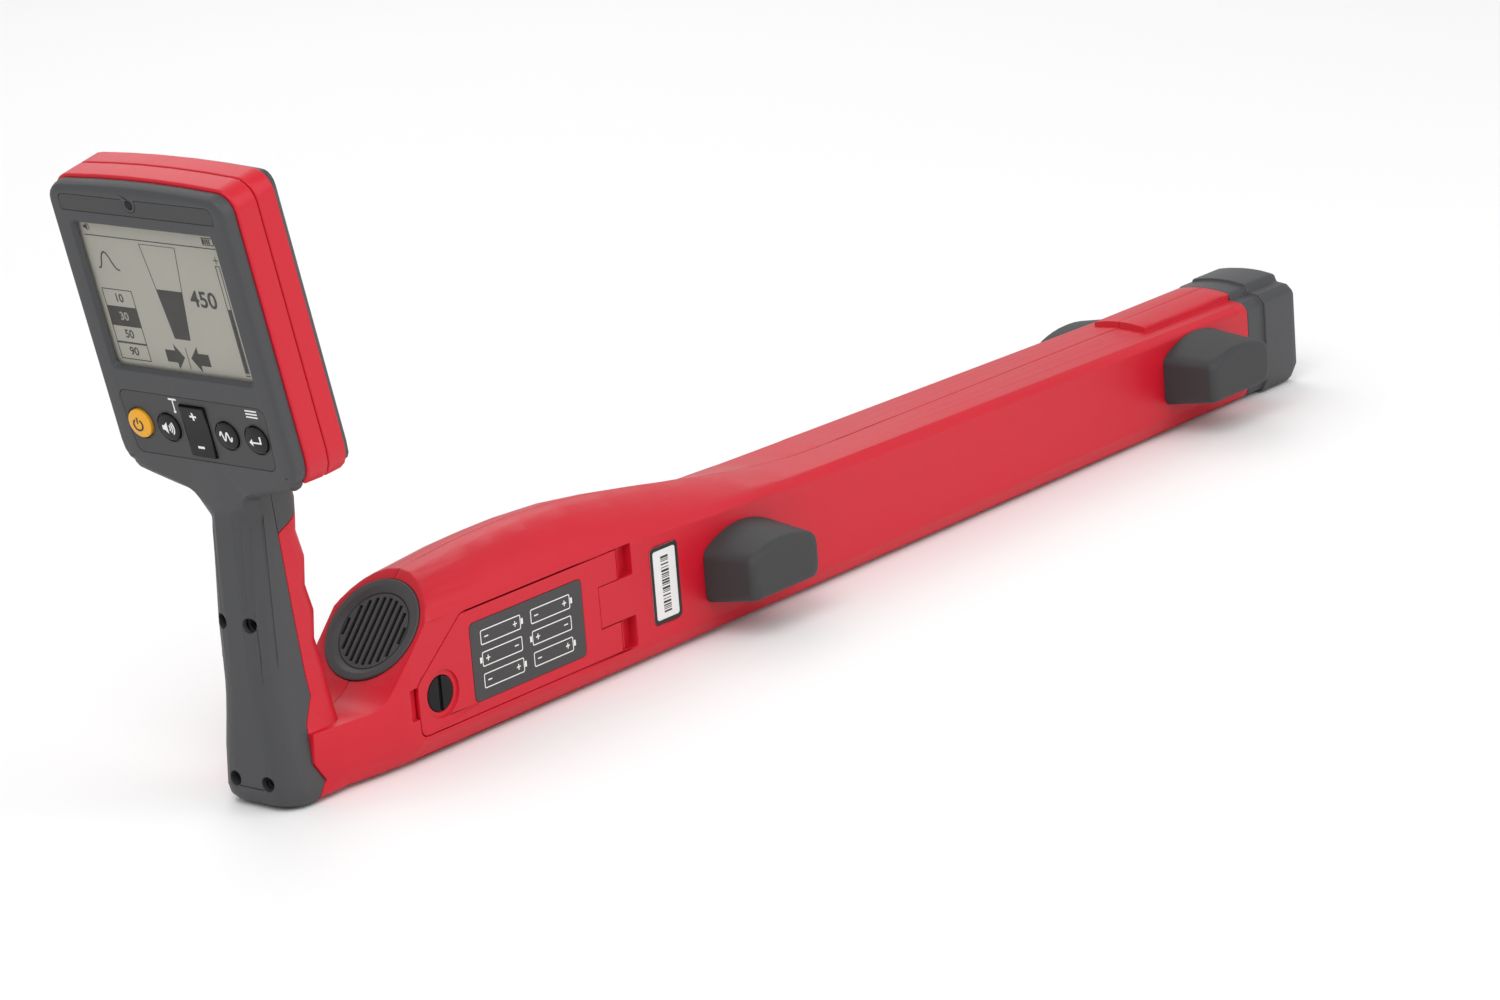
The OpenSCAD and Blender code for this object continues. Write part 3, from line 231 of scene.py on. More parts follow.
@dataclass(frozen=True)
class Metal:
    """Plain machined or plated metal with fine scratches."""

    name: str
    colour: Colour
    roughness: float
    metallic: float = 1.0
    scratch: float = 0.0009
    scratch_detail: float = 4.0
    scratch_wear: float = 0.25
    tone: float = 0.01
    tone_detail: float = 2.0
    tones: Point = (0.9, 1.08)

    def material(self) -> bpy.types.Material:
        """Builds the material.

        Returns:
            The material.
        """
        s = Shader(self.name)
        scratch = s.noise(self.scratch, self.scratch_detail)
        tone = s.noise(self.tone, self.tone_detail)
        dark, light = (shade(self.colour, factor) for factor in self.tones)
        return s.surface({
            "Base Color": s.mix(tone, dark, light),
            "Metallic": self.metallic,
            "Roughness": self.roughness + (scratch - NOISE_MIDDLE) * self.scratch_wear,
        })


@dataclass(frozen=True)
class ClearSheet:
    """Clear window over the display, with a faint smear."""

    name: str
    colour: Colour = (0.12, 0.12, 0.11)
    smear: float = 0.03
    smear_detail: float = 3.0
    roughness: float = 0.05
    smear_roughness: float = 0.06
    alpha: float = 0.04
    smear_alpha: float = 0.03

    def material(self) -> bpy.types.Material:
        """Builds the material: a faint reflecting film that lets the display through.

        Returns:
            The material.
        """
        s = Shader(self.name)
        smear = s.noise(self.smear, self.smear_detail)
        return s.surface({
            "Base Color": (*self.colour, 1.0),
            "Roughness": self.roughness + smear * self.smear_roughness,
            "Alpha": self.alpha + smear * self.smear_alpha,
        })


FILM_GRAIN = {"grain": 0.0004, "grain_depth": 0.00001}
RUBBER_GRAIN = {"grain": 0.0004, "grain_depth": 0.00002}
GLOSS_GRAIN = {"grain": 0.0004, "grain_depth": 0.000004}
KEY_GRAIN = {"grain": 0.0003, "grain_depth": 0.00001}
PRINT_GRAIN = {"grain": 0.0003, "grain_depth": 0.000004}
GLASS_GRAIN = {"grain": 0.0002, "grain_depth": 0.000002}
FOAM_GRAIN = {"grain": 0.0009, "grain_depth": 0.0002}
FINISHES = {
    "red_shell": Moulding("red_plastic", (0.54, 0.004, 0.018), 0.42, specular=0.38),
    "grey_shell": Moulding("grey_plastic", (0.044, 0.045, 0.048), 0.5),
    "pod_rubber": Moulding("pod_rubber", (0.03, 0.031, 0.033), 0.62, **RUBBER_GRAIN),
    "dark_overlay": Moulding("dark_film", (0.038, 0.036, 0.037), 0.5, **FILM_GRAIN),
    "key_dark": Moulding("key_rubber", (0.009, 0.009, 0.011), 0.42, specular=0.25, **KEY_GRAIN),
    "key_yellow": Moulding("key_yellow", (0.78, 0.36, 0.008), 0.42, **KEY_GRAIN),
    "clear_window": ClearSheet("window"),
    "display": Moulding("display_grey", (0.41, 0.398, 0.345), 0.6, mottle=0.02, **GLASS_GRAIN),
    "black_plastic": Moulding("black_plastic", (0.006, 0.006, 0.007), 0.2, specular=0.18,
                              **GLOSS_GRAIN),
    "screw_steel": Metal("screw_steel", (0.6, 0.6, 0.61), 0.3),
    "screw_black": Metal("screw_black", (0.02, 0.02, 0.021), 0.42, metallic=0.7),
    "label_white": Moulding("label_film", (0.74, 0.74, 0.73), 0.35, mottle=0.01, **GLOSS_GRAIN),
    "board_green": Moulding("solder_mask", (0.02, 0.13, 0.05), 0.35),
    "cell_steel": Metal("cell_wrap", (0.35, 0.36, 0.38), 0.35, metallic=0.8),
    "ferrite": Moulding("ferrite", (0.03, 0.03, 0.032), 0.6),
    "copper_wire": Metal("copper_wire", (0.6, 0.24, 0.1), 0.35),
    "foam": Moulding("foam", (0.015, 0.015, 0.016), 0.8, **FOAM_GRAIN),
    Ink.SEGMENT.value: Moulding("display_segment", (0.038, 0.036, 0.033), 0.6, **GLASS_GRAIN),
    Ink.PALE.value: Moulding("display_pale", (0.34, 0.328, 0.283), 0.6, **GLASS_GRAIN),
    Ink.WHITE.value: Moulding("white_ink", (0.78, 0.78, 0.77), 0.5, mottle=0.02, **PRINT_GRAIN),
    Ink.BLACK.value: Moulding("black_ink", (0.012, 0.011, 0.01), 0.5, **PRINT_GRAIN),
    Ink.FRAME.value: Moulding("frame_black", (0.01, 0.01, 0.011), 0.55, **FILM_GRAIN),
}
SLOT_OF = {part["node"]: part["material_slot"] for part in frame["record"]["subparts"]}
MATERIALS = {name: finish.material() for name, finish in FINISHES.items()}


def pick(piece: bpy.types.Object) -> None:
    """Selects one object alone and makes it active.

    Args:
        piece: the object.
    """
    bpy.ops.object.select_all(action="DESELECT")
    piece.select_set(True)
    bpy.context.view_layer.objects.active = piece


def open_all(piece: bpy.types.Object) -> None:
    """Opens a piece in edit mode, with all of it selected.

    Args:
        piece: mesh object.
    """
    pick(piece)
    bpy.ops.object.mode_set(mode="EDIT")
    bpy.ops.mesh.select_all(action="SELECT")


def open_faces(piece: bpy.types.Object,
               chosen: Callable[[bpy.types.MeshPolygon], bool]) -> None:
    """Opens a piece in edit mode, with some of its faces selected.

    Args:
        piece: mesh object.
        chosen: says whether a face is selected.
    """
    pick(piece)
    bpy.context.tool_settings.mesh_select_mode = (False, False, True)
    for face in piece.data.polygons:
        face.select = chosen(face)
    bpy.ops.object.mode_set(mode="EDIT")


def close_in_triangles() -> None:
    """Splits the selected faces into triangles and leaves edit mode."""
    bpy.ops.mesh.quads_convert_to_tris(quad_method="BEAUTY", ngon_method="BEAUTY")
    bpy.ops.object.mode_set(mode="OBJECT")


def dress(piece: bpy.types.Object, slot: str, body: Body, ink: Ink | None = None) -> None:
    """Gives a finished piece its material and the body that carries it.

    Args:
        piece: mesh object whose place is in its mesh.
        slot: material slot of the record.
        body: body that it moves with.
        ink: its finish, where that isn't the slot's own.
    """
    piece.data.materials.clear()
    piece.data.materials.append(MATERIALS[ink.value if ink else slot])
    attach(piece, body.value)
    log.info("%s: %d faces on %s", piece.name, len(piece.data.polygons), body.value)


def merged_copy(node: str, name: str) -> bpy.types.Object:
    """Copies a solid's mesh, joins its loose triangles and merges its flat faces.

    Args:
        node: name of the solid.
        name: name of the new piece.

    Returns:
        The new object.
    """
    piece = bpy.data.objects.new(name, frame["nodes"][node].data.copy())
    bpy.context.scene.collection.objects.link(piece)
    open_all(piece)
    bpy.ops.mesh.customdata_custom_splitnormals_clear()
    bpy.ops.mesh.remove_doubles(threshold=MERGE_GAP)
    bpy.ops.mesh.dissolve_limited(angle_limit=math.radians(FLAT_ANGLE))
    close_in_triangles()
    return piece


def slice_up(piece: bpy.types.Object, axis: int, places: tuple[float, ...]) -> None:
    """Cuts the long faces of a piece into short ones, so that it shades evenly.

    Args:
        piece: mesh object.
        axis: 0, 1 or 2 for cuts across X, Y or Z.
        places: where the cuts lie, in millimetres.
    """
    open_all(piece)
    for place in places:
        point, across = [0.0, 0.0, 0.0], [0.0, 0.0, 0.0]
        point[axis], across[axis] = place * MM, 1.0
        bpy.ops.mesh.select_all(action="SELECT")
        bpy.ops.mesh.bisect(plane_co=point, plane_no=across)
    bpy.ops.mesh.select_all(action="SELECT")
    close_in_triangles()


def round_edges(piece: bpy.types.Object, width: float, segments: int = 2,
                limit: float = SMOOTH_ANGLE, flats: tuple[Triple, ...] = ()) -> None:
    """Rounds the sharp edges of a piece and shades it smooth.

    Args:
        piece: mesh object.
        width: width of the rounding, in millimetres.
        segments: number of faces across it.
        limit: smallest angle of an edge that is rounded, in degrees.
        flats: directions of flat faces, which keep an even shade up to their borders.
    """
    pick(piece)
    bevel = piece.modifiers.new("edges", "BEVEL")
    bevel.width = width * MM
    bevel.segments = segments
    bevel.limit_method = "ANGLE"
    bevel.angle_limit = math.radians(limit)
    bevel.use_clamp_overlap = False
    bevel.miter_outer = "MITER_ARC"
    bpy.ops.object.modifier_apply(modifier=bevel.name)
    bpy.ops.object.shade_smooth_by_angle(angle=math.radians(SMOOTH_ANGLE))
    ways = [Vector(flat) for flat in flats]
    open_faces(piece, lambda face: any(face.normal.dot(way) > SAME_WAY for way in ways))
    bpy.ops.mesh.mod_weighted_strength(set=True, face_strength="STRONG")
    bpy.ops.object.mode_set(mode="OBJECT")
    even = piece.modifiers.new("even", "WEIGHTED_NORMAL")
    even.keep_sharp = True
    even.use_face_influence = bool(flats)
    even.mode = "CORNER_ANGLE" if flats else "FACE_AREA"
    bpy.ops.object.modifier_apply(modifier=even.name)


@dataclass(frozen=True)
class Plane:
    """A flat face of the locator, with its right, up and outward directions."""

    origin: Triple
    right: Triple
    up: Triple
    out: Triple

    def matrix(self, x: float = 0.0, y: float = 0.0, lift: float = 0.0) -> Matrix:
        """Places a drawing in millimetres.

        Args:
            x: shift to the right, in millimetres.
            y: shift up.
            lift: shift out of the face.

        Returns:
            The matrix from the drawing to the scene.
        """
        axes = Matrix((self.right, self.up, self.out)).transposed().to_4x4()
        shift = Matrix.Translation((x, y, lift))
        return Matrix.Translation(self.origin) @ axes @ Matrix.Scale(MM, 4) @ shift

    def tilted(self, x: float, y: float, lift: float, degrees: float) -> "Plane":
        """Turns the face about its right direction.

        Args:
            x: place of a point on the turned face, in millimetres.
            y: its place upwards.
            lift: its place outwards.
            degrees: angle of the turn.

        Returns:
            The turned face.
        """
        turn = Matrix.Rotation(math.radians(degrees), 3, Vector(self.right))
        up, out = tuple(turn @ Vector(self.up)), tuple(turn @ Vector(self.out))
        return Plane(tuple(self.matrix(x, y, lift).translation), self.right, up, out)


PANEL_SINE, PANEL_COSINE = 0.21644, 0.97630
PANEL = Plane((-0.038607, 0.0, 0.239468), (0.0, -1.0, 0.0),
              (-PANEL_SINE, 0.0, PANEL_COSINE), (-PANEL_COSINE, 0.0, -PANEL_SINE))
RIGHT_SIDE = Plane((0.0, -0.029, 0.0), (1.0, 0.0, 0.0), (0.0, 0.0, 1.0), (0.0, -1.0, 0.0))


def box(x0: float, y0: float, x1: float, y1: float) -> Outline:
    """Outline of a rectangle."""
    return [(x0, y0), (x1, y0), (x1, y1), (x0, y1)]


def arc(x: float, y: float, radius: float, start: float, end: float, steps: int = 24) -> Outline:
    """Points along an arc, with its angles in degrees."""
    turns = [math.radians(start + (end - start) * i / steps) for i in range(steps + 1)]
    return [(x + radius * math.cos(a), y + radius * math.sin(a)) for a in turns]


def circle(x: float, y: float, radius: float, points: int) -> Outline:
    """Outline of a circle."""
    return arc(x, y, radius, 0.0, 360.0 - 360.0 / points, points - 1)


def round_box(x0: float, y0: float, x1: float, y1: float, radius: float,
              steps: int = 6) -> Outline:
    """Outline of a rectangle with round corners.

    Args:
        x0: left edge.
        y0: lower edge.
        x1: right edge.
        y1: upper edge.
        radius: radius of the corners.
        steps: number of edges round a corner.

    Returns:
        Its points, from the upper right corner.
    """
    left, right, low, high = x0 + radius, x1 - radius, y0 + radius, y1 - radius
    points: Outline = []
    for i, (x, y) in enumerate(((right, high), (left, high), (left, low), (right, low))):
        points += arc(x, y, radius, 90.0 * i, 90.0 * (i + 1), steps)
    return points


def band(x: float, y: float, radius: float, width: float, start: float, end: float) -> Outline:
    """Outline of a part of a ring."""
    outer = arc(x, y, radius + 0.5 * width, start, end)
    return outer + arc(x, y, radius - 0.5 * width, end, start)


def moved(outline: Outline | Points, x: float, y: float) -> Outline:
    """Shifts an outline."""
    return [(x + a, y + b) for a, b in outline]


def plus(x: float, y: float, reach: float, half: float) -> Outline:
    """Outline of a plus sign.

    Args:
        x: its middle.
        y: its middle, upwards.
        reach: length of an arm from the middle.
        half: half the width of an arm.

    Returns:
        Its twelve points.
    """
    quarter = [(-reach, -half), (-half, -half), (-half, -reach)]
    shape: Outline = []
    for _ in range(4):
        shape += quarter
        quarter = [(-b, a) for a, b in quarter]
    return moved(shape, x, y)


def stroke(points: Outline, width: float, sharpest: float = 0.4) -> Outline:
    """Outline of a line of even width.

    Args:
        points: points that the line runs through.
        width: its width.
        sharpest: least cosine that a corner's point is drawn out by.

    Returns:
        A closed outline round the line.
    """
    path = [Vector(p) for p in points]
    left, right = [], []
    for i, here in enumerate(path):
        before = (here - path[i - 1]).normalized() if i else (path[1] - here).normalized()
        after = (path[i + 1] - here).normalized() if i + 1 < len(path) else before
        along = (before + after).normalized()
        side = Vector((-along.y, along.x)) * 0.5 * width / max(sharpest, along.dot(before))
        left.append(tuple(here + side))
        right.append(tuple(here - side))
    return left + right[::-1]


def settle(piece: bpy.types.Object, place: Matrix) -> bpy.types.Object:
    """Turns a flat curve or text into a mesh and moves it to its place.

    Args:
        piece: the curve or text, already in the scene.
        place: matrix from its drawing to the scene.

    Returns:
        The same object, as a mesh at the origin.
    """
    pick(piece)
    bpy.ops.object.convert(target="MESH")
    piece.matrix_world = place
    bpy.ops.object.transform_apply(location=True, rotation=True, scale=True)
    open_all(piece)
    bpy.ops.mesh.remove_doubles(threshold=PRINT_MERGE_GAP)
    bpy.ops.mesh.normals_make_consistent(inside=False)
    bpy.ops.object.mode_set(mode="OBJECT")
    return piece


def flat_piece(name: str, outlines: list[Outline], plane: Plane, top: float,
               depth: float) -> bpy.types.Object:
    """Cuts a thin flat piece; an outline inside another one is a hole.

    Args:
        name: name of the piece.
        outlines: closed outlines in millimetres on the plane.
        plane: face that it lies on.
        top: height of its top above the face, in millimetres.
        depth: its thickness.

    Returns:
        The new mesh object.
    """
    curve = bpy.data.curves.new(name, "CURVE")
    curve.dimensions = "2D"
    curve.fill_mode = "BOTH"
    curve.extrude = 0.5 * depth
    for outline in outlines:
        line = curve.splines.new("POLY")
        line.points.add(len(outline) - 1)
        for point, (x, y) in zip(line.points, outline):
            point.co = (x, y, 0.0, 1.0)
        line.use_cyclic_u = True
    piece = bpy.data.objects.new(name, curve)
    bpy.context.scene.collection.objects.link(piece)
    return settle(piece, plane.matrix(lift=top - 0.5 * depth))


def flat_number(name: str, digits: str, size: float, at: Point, plane: Plane, top: float,
                depth: float, bold_share: float = 0.02) -> bpy.types.Object:
    """Cuts the digits of a reading.

    Args:
        name: name of the piece.
        digits: the digits.
        size: their type size, in millimetres.
        at: middle of the number on the plane.
        plane: face that it lies on.
        top: height of its top above the face.
        depth: its thickness.
        bold_share: share of the size that thickens the strokes.

    Returns:
        The new mesh object.
    """
    bpy.ops.object.select_all(action="DESELECT")
    bpy.ops.object.text_add()
    piece = bpy.context.object
    piece.name = name
    piece.data.body = digits
    piece.data.size = size
    piece.data.offset = bold_share * size
    piece.data.extrude = 0.5 * depth
    piece.data.align_x = "CENTER"
    piece.data.align_y = "CENTER"
    return settle(piece, plane.matrix(*at, top - 0.5 * depth))


@dataclass
class Display:
    """Liquid-crystal display: the clear window, and the dark segments behind it.

    Areas and outlines of the segments are shares of the display, from its top left corner.
    """

    plane: Plane = PANEL
    width: float = 84.5
    height: float = 69.0
    window_top: float = -2.5
    window_depth: float = 0.9
    window_margin: float = 2.6
    window_corner: float = 1.2
    window_edge: float = 0.15
    ink_top: float = -3.86
    ink_depth: float = 0.03
    pale_lift: float = 0.02
    line: float = 0.45
    status_line: Area = (0.012, 0.093, 0.985, 0.1)
    horn: Points = ((0.02, 0.03), (0.032, 0.03), (0.048, 0.012), (0.048, 0.068), (0.032, 0.05),
                    (0.02, 0.05))
    horn_wave: Area = (0.056, 0.016, 0.06, 0.064)
    battery: Area = (0.883, 0.022, 0.966, 0.076)
    battery_nub: Area = (0.967, 0.037, 0.974, 0.061)
    battery_bar: Area = (0.889, 0.032, 0.899, 0.066)
    battery_bars: int = 4
    battery_pitch: float = 0.0135
    pulse: Points = ((0.05, 0.326), (0.066, 0.322), (0.077, 0.296), (0.088, 0.25), (0.1, 0.222),
                     (0.114, 0.209), (0.128, 0.214), (0.142, 0.238), (0.156, 0.275),
                     (0.17, 0.307), (0.184, 0.326), (0.205, 0.33))
    pulse_width: float = 0.8
    level: Points = ((0.401, 0.12), (0.473, 0.777), (0.587, 0.777), (0.666, 0.12))
    level_hollow: Points = ((0.4065, 0.1245), (0.4405, 0.433), (0.6235, 0.433), (0.6605, 0.1245))
    reading: str = "450"
    reading_size: float = 10.8
    reading_at: Point = (0.772, 0.473)
    arrow: Points = ((0.0, 0.0), (0.062, -0.09), (0.062, -0.043), (0.136, -0.043),
                     (0.136, 0.043), (0.062, 0.043), (0.062, 0.09))
    arrow_tips: Point = (0.507, 0.553)
    arrow_row: float = 0.907
    centre: Area = (0.5275, 0.835, 0.5325, 0.985)
    gauge: Area = (0.929, 0.213, 0.961, 0.962)
    gauge_fill: Area = (0.9355, 0.515, 0.9545, 0.954)
    more: tuple[Area, ...] = ((0.929, 0.172, 0.961, 0.18), (0.9425, 0.15, 0.9475, 0.1705),
                              (0.9425, 0.1815, 0.9475, 0.202))
    less: Area = (0.929, 0.974, 0.961, 0.982)
    modes: tuple[str, ...] = ("10", "30", "50", "90")
    mode_chosen: str = "30"
    mode_size: float = 5.6
    mode_side: Point = (0.02, 0.243)
    mode_middle: float = 0.132
    mode_rows: tuple[float, ...] = (0.47, 0.6, 0.728, 0.853, 0.973)

    def point(self, u: float, v: float) -> Point:
        """Turns shares of the display into millimetres."""
        return ((u - 0.5) * self.width, (0.5 - v) * self.height)

    def area(self, u0: float, v0: float, u1: float, v1: float) -> Outline:
        """Outline of a rectangle that is given in shares of the display."""
        return box(*self.point(u0, v1), *self.point(u1, v0))

    def rim(self, u0: float, v0: float, u1: float, v1: float) -> list[Outline]:
        """Outlines of an empty box that is given in shares of the display."""
        (x0, y0), (x1, y1), t = self.point(u0, v1), self.point(u1, v0), self.line
        return [box(x0, y0, x1, y1), box(x0 + t, y0 + t, x1 - t, y1 - t)]

    def shape(self, shares: Outline | Points) -> Outline:
        """Turns an outline in shares of the display into millimetres."""
        return [self.point(u, v) for u, v in shares]

    def ink(self, name: str, outlines: list[Outline]) -> None:
        """Adds one group of dark segments."""
        piece = flat_piece("segments_" + name, outlines, self.plane, self.ink_top, self.ink_depth)
        dress(piece, "dark_overlay", Body.HOUSING, Ink.SEGMENT)

    def number(self, name: str, digits: str, size: float, at: Point,
               ink: Ink = Ink.SEGMENT) -> None:
        """Adds the digits of a reading.

        Args:
            name: name of the piece, after the word segments.
            digits: the digits.
            size: their type size, in millimetres.
            at: their middle, in shares of the display.
            ink: dark, or pale on a dark box.
        """
        top = self.ink_top + (self.pale_lift if ink is Ink.PALE else 0.0)
        piece = flat_number("segments_" + name, digits, size, self.point(*at), self.plane, top,
                            self.ink_depth)
        dress(piece, "dark_overlay", Body.HOUSING, ink)

    def build(self) -> None:
        """Makes the window and the segments."""
        x, y = 0.5 * self.width + self.window_margin, 0.5 * self.height + self.window_margin
        pane = round_box(-x, -y, x, y, self.window_corner)
        window = flat_piece("display_window", [pane], self.plane, self.window_top,
                            self.window_depth)
        round_edges(window, self.window_edge)
        dress(window, "clear_window", Body.HOUSING)
        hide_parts("lcd_window")
        self.add_status()
        self.add_scales()
        self.add_modes()

    def add_status(self) -> None:
        """Line of symbols along the top."""
        u0, v0, u1, v1 = self.battery_bar
        steps = [self.battery_pitch * i for i in range(self.battery_bars)]
        bars = [self.area(u0 + step, v0, u1 + step, v1) for step in steps]
        self.ink("line", [self.area(*self.status_line)])
        self.ink("sound", [self.shape(self.horn), self.area(*self.horn_wave)])
        self.ink("battery", self.rim(*self.battery) + bars + [self.area(*self.battery_nub)])
        self.ink("pulse", [stroke(self.shape(self.pulse), self.pulse_width)])

    def add_scales(self) -> None:
        """Tapered level, its number, the arrows below it and the gauge on the right."""
        self.ink("level", [self.shape(self.level), self.shape(self.level_hollow)])
        self.number("reading", self.reading, self.reading_size, self.reading_at)
        for name, tip, way in zip(("left", "right"), self.arrow_tips, (-1.0, 1.0)):
            head = moved([(way * u, v) for u, v in self.arrow], tip, self.arrow_row)
            self.ink("arrow_" + name, [self.shape(head)])
        self.ink("centre", [self.area(*self.centre)])
        self.ink("gauge", self.rim(*self.gauge) + [self.area(*self.gauge_fill)])
        self.ink("more", [self.area(*bar) for bar in self.more])
        self.ink("less", [self.area(*self.less)])

    def add_modes(self) -> None:
        """Column of four boxes, one of them chosen."""
        left, right = self.mode_side
        for i, digits in enumerate(self.modes):
            v0, v1 = self.mode_rows[i:i + 2]
            chosen = digits == self.mode_chosen
            cell = (left, v0, right, v1)
            self.ink(f"mode_{i + 1}", [self.area(*cell)] if chosen else self.rim(*cell))
            self.number(f"mode_number_{i + 1}", digits, self.mode_size,
                        (self.mode_middle, 0.5 * (v0 + v1)), Ink.PALE if chosen else Ink.SEGMENT)


@dataclass
class Keypad:
    """Symbols on the keys, and the fine beads round them.

    Outlines of the symbols are in millimetres from the middle of their key.
    """

    plane: Plane = PANEL
    row: float = -62.4
    pitch: float = 18.0
    key_radius: float = 6.48
    power_radius: float = 6.9
    key_top: float = 1.04
    power_top: float = 2.04
    symbol_depth: float = 0.4
    film_top: float = -0.2
    bead: float = 0.5
    bead_gap: float = 0.85
    bead_lift: float = 0.18
    bead_depth: float = 0.22
    bead_edge: float = 0.08
    bead_points: int = 48
    power_ring: tuple[float, ...] = (0.0, -0.2, 2.7, 0.75, 122.0, 418.0)
    power_bar: Area = (-0.38, 0.3, 0.38, 3.3)
    horn: Points = ((-3.4, -1.1), (-2.2, -1.1), (-0.3, -2.8), (-0.3, 2.8), (-2.2, 1.1), (-3.4, 1.1))
    horn_mouth: float = -0.6
    horn_waves: tuple[float, ...] = (1.9, 3.1, 4.3)
    horn_wave_width: float = 0.6
    horn_wave_angle: float = 42.0
    wave_reach: float = 3.6
    wave_height: float = 2.0
    wave_width: float = 0.75
    wave_turns: int = 2
    wave_steps: int = 36
    hook: Points = ((-3.9, -0.9), (-2.0, -2.7), (-2.0, -1.3), (3.4, -1.3), (3.4, 2.3), (2.6, 2.3),
                    (2.6, -0.5), (-2.0, -0.5), (-2.0, 0.9))
    rocker_half: Point = (7.5, 12.0)
    rocker_bead: Point = (1.3, 0.8)
    rocker_corner: float = 0.5
    rocker_slope: float = 4.9
    rocker_reach: float = 7.6
    rocker_lift: float = 0.823
    sign_top: float = 0.05
    sign_depth: float = 0.2
    sign_reach: float = 2.0
    sign_half: float = 0.5
    minus_half: float = 0.55
    tee_bar: Area = (-14.0, -48.5, -9.2, -47.6)
    tee_stem: Area = (-11.95, -53.3, -11.25, -48.55)
    tee_dot: Triple = (-11.6, -54.1, 0.75)
    tee_dot_points: int = 16
    list_side: Point = (33.2, 40.2)
    list_rows: tuple[float, ...] = (-48.3, -49.8, -51.3)
    list_half: float = 0.35
    mark_lift: float = 0.02
    mark_depth: float = 0.04

    def build(self) -> None:
        """Makes the beads and the symbols."""
        self.add_beads()
        self.add_key_symbols()
        self.add_rocker_signs()
        self.add_film_marks()

    def add_bead(self, name: str, rings: list[Outline]) -> None:
        """Adds the bead between an outer and an inner outline.

        Args:
            name: name of the key.
            rings: the two outlines.
        """
        top = self.film_top + self.bead_lift
        bead = flat_piece("bead_" + name, rings, self.plane, top, self.bead_depth)
        round_edges(bead, self.bead_edge)
        dress(bead, "dark_overlay", Body.HOUSING)

    def add_beads(self) -> None:
        """Raised beads of the film round the openings of the keys."""
        for name, i, radius in (("power", -2, self.power_radius), ("sound", -1, self.key_radius),
                                ("frequency", 1, self.key_radius), ("enter", 2, self.key_radius)):
            self.add_bead(name, [circle(i * self.pitch, self.row, radius + self.bead_gap + t,
                                        self.bead_points) for t in (self.bead, 0.0)])
        x, y = self.rocker_half
        self.add_bead("rocker", [round_box(-x - t, self.row - y - t, x + t, self.row + y + t,
                                           self.rocker_corner + t) for t in self.rocker_bead])

    def add_symbol(self, name: str, outlines: list[Outline], place: int, body: Body) -> None:
        """Adds a symbol that moves with its key.

        Args:
            name: name of the symbol.
            outlines: its outlines.
            place: place of the key in the row, counted from the middle.
            body: the key.
        """
        power = body is Body.POWER
        drawn = [moved(outline, place * self.pitch, self.row) for outline in outlines]
        piece = flat_piece("symbol_" + name, drawn, self.plane,
                           self.power_top if power else self.key_top, self.symbol_depth)
        dress(piece, "label_white", body, Ink.BLACK if power else Ink.WHITE)

    def add_key_symbols(self) -> None:
        """Power, sound, wave and return symbols."""
        angle, steps = self.horn_wave_angle, self.wave_steps
        echoes = [band(self.horn_mouth, 0.0, radius, self.horn_wave_width, -angle, angle)
                  for radius in self.horn_waves]
        turns = [2.0 * math.pi * self.wave_turns * i / steps for i in range(steps + 1)]
        wave = [(self.wave_reach * (2.0 * i / steps - 1.0), self.wave_height * math.sin(turn))
                for i, turn in enumerate(turns)]
        self.add_symbol("power", [band(*self.power_ring), box(*self.power_bar)], -2, Body.POWER)
        self.add_symbol("sound", [list(self.horn), *echoes], -1, Body.SOUND)
        self.add_symbol("wave", [stroke(wave, self.wave_width)], 1, Body.FREQUENCY)
        self.add_symbol("return", [list(self.hook)], 2, Body.ENTER)

    def add_rocker_signs(self) -> None:
        """Plus and minus on the two slopes of the rocker."""
        reach, half = self.sign_reach, self.minus_half
        signs = {"more": (1.0, plus(0.0, 0.0, reach, self.sign_half)),
                 "less": (-1.0, box(-reach, -half, reach, half))}
        for name, (way, outline) in signs.items():
            face = self.plane.tilted(0.0, self.row + way * self.rocker_reach, self.rocker_lift,
                                     way * self.rocker_slope)
            piece = flat_piece("symbol_" + name, [outline], face, self.sign_top, self.sign_depth)
            dress(piece, "label_white", Body.ROCKER, Ink.WHITE)

    def add_film_marks(self) -> None:
        """Marks printed on the film beside the keys."""
        left, right = self.list_side
        half = self.list_half
        marks = {"tee": [box(*self.tee_bar), box(*self.tee_stem),
                         circle(*self.tee_dot, self.tee_dot_points)],
                 "list": [box(left, y - half, right, y + half) for y in self.list_rows]}
        for name, outlines in marks.items():
            piece = flat_piece("mark_" + name, outlines, self.plane,
                               self.film_top + self.mark_lift, self.mark_depth)
            dress(piece, "label_white", Body.HOUSING, Ink.WHITE)


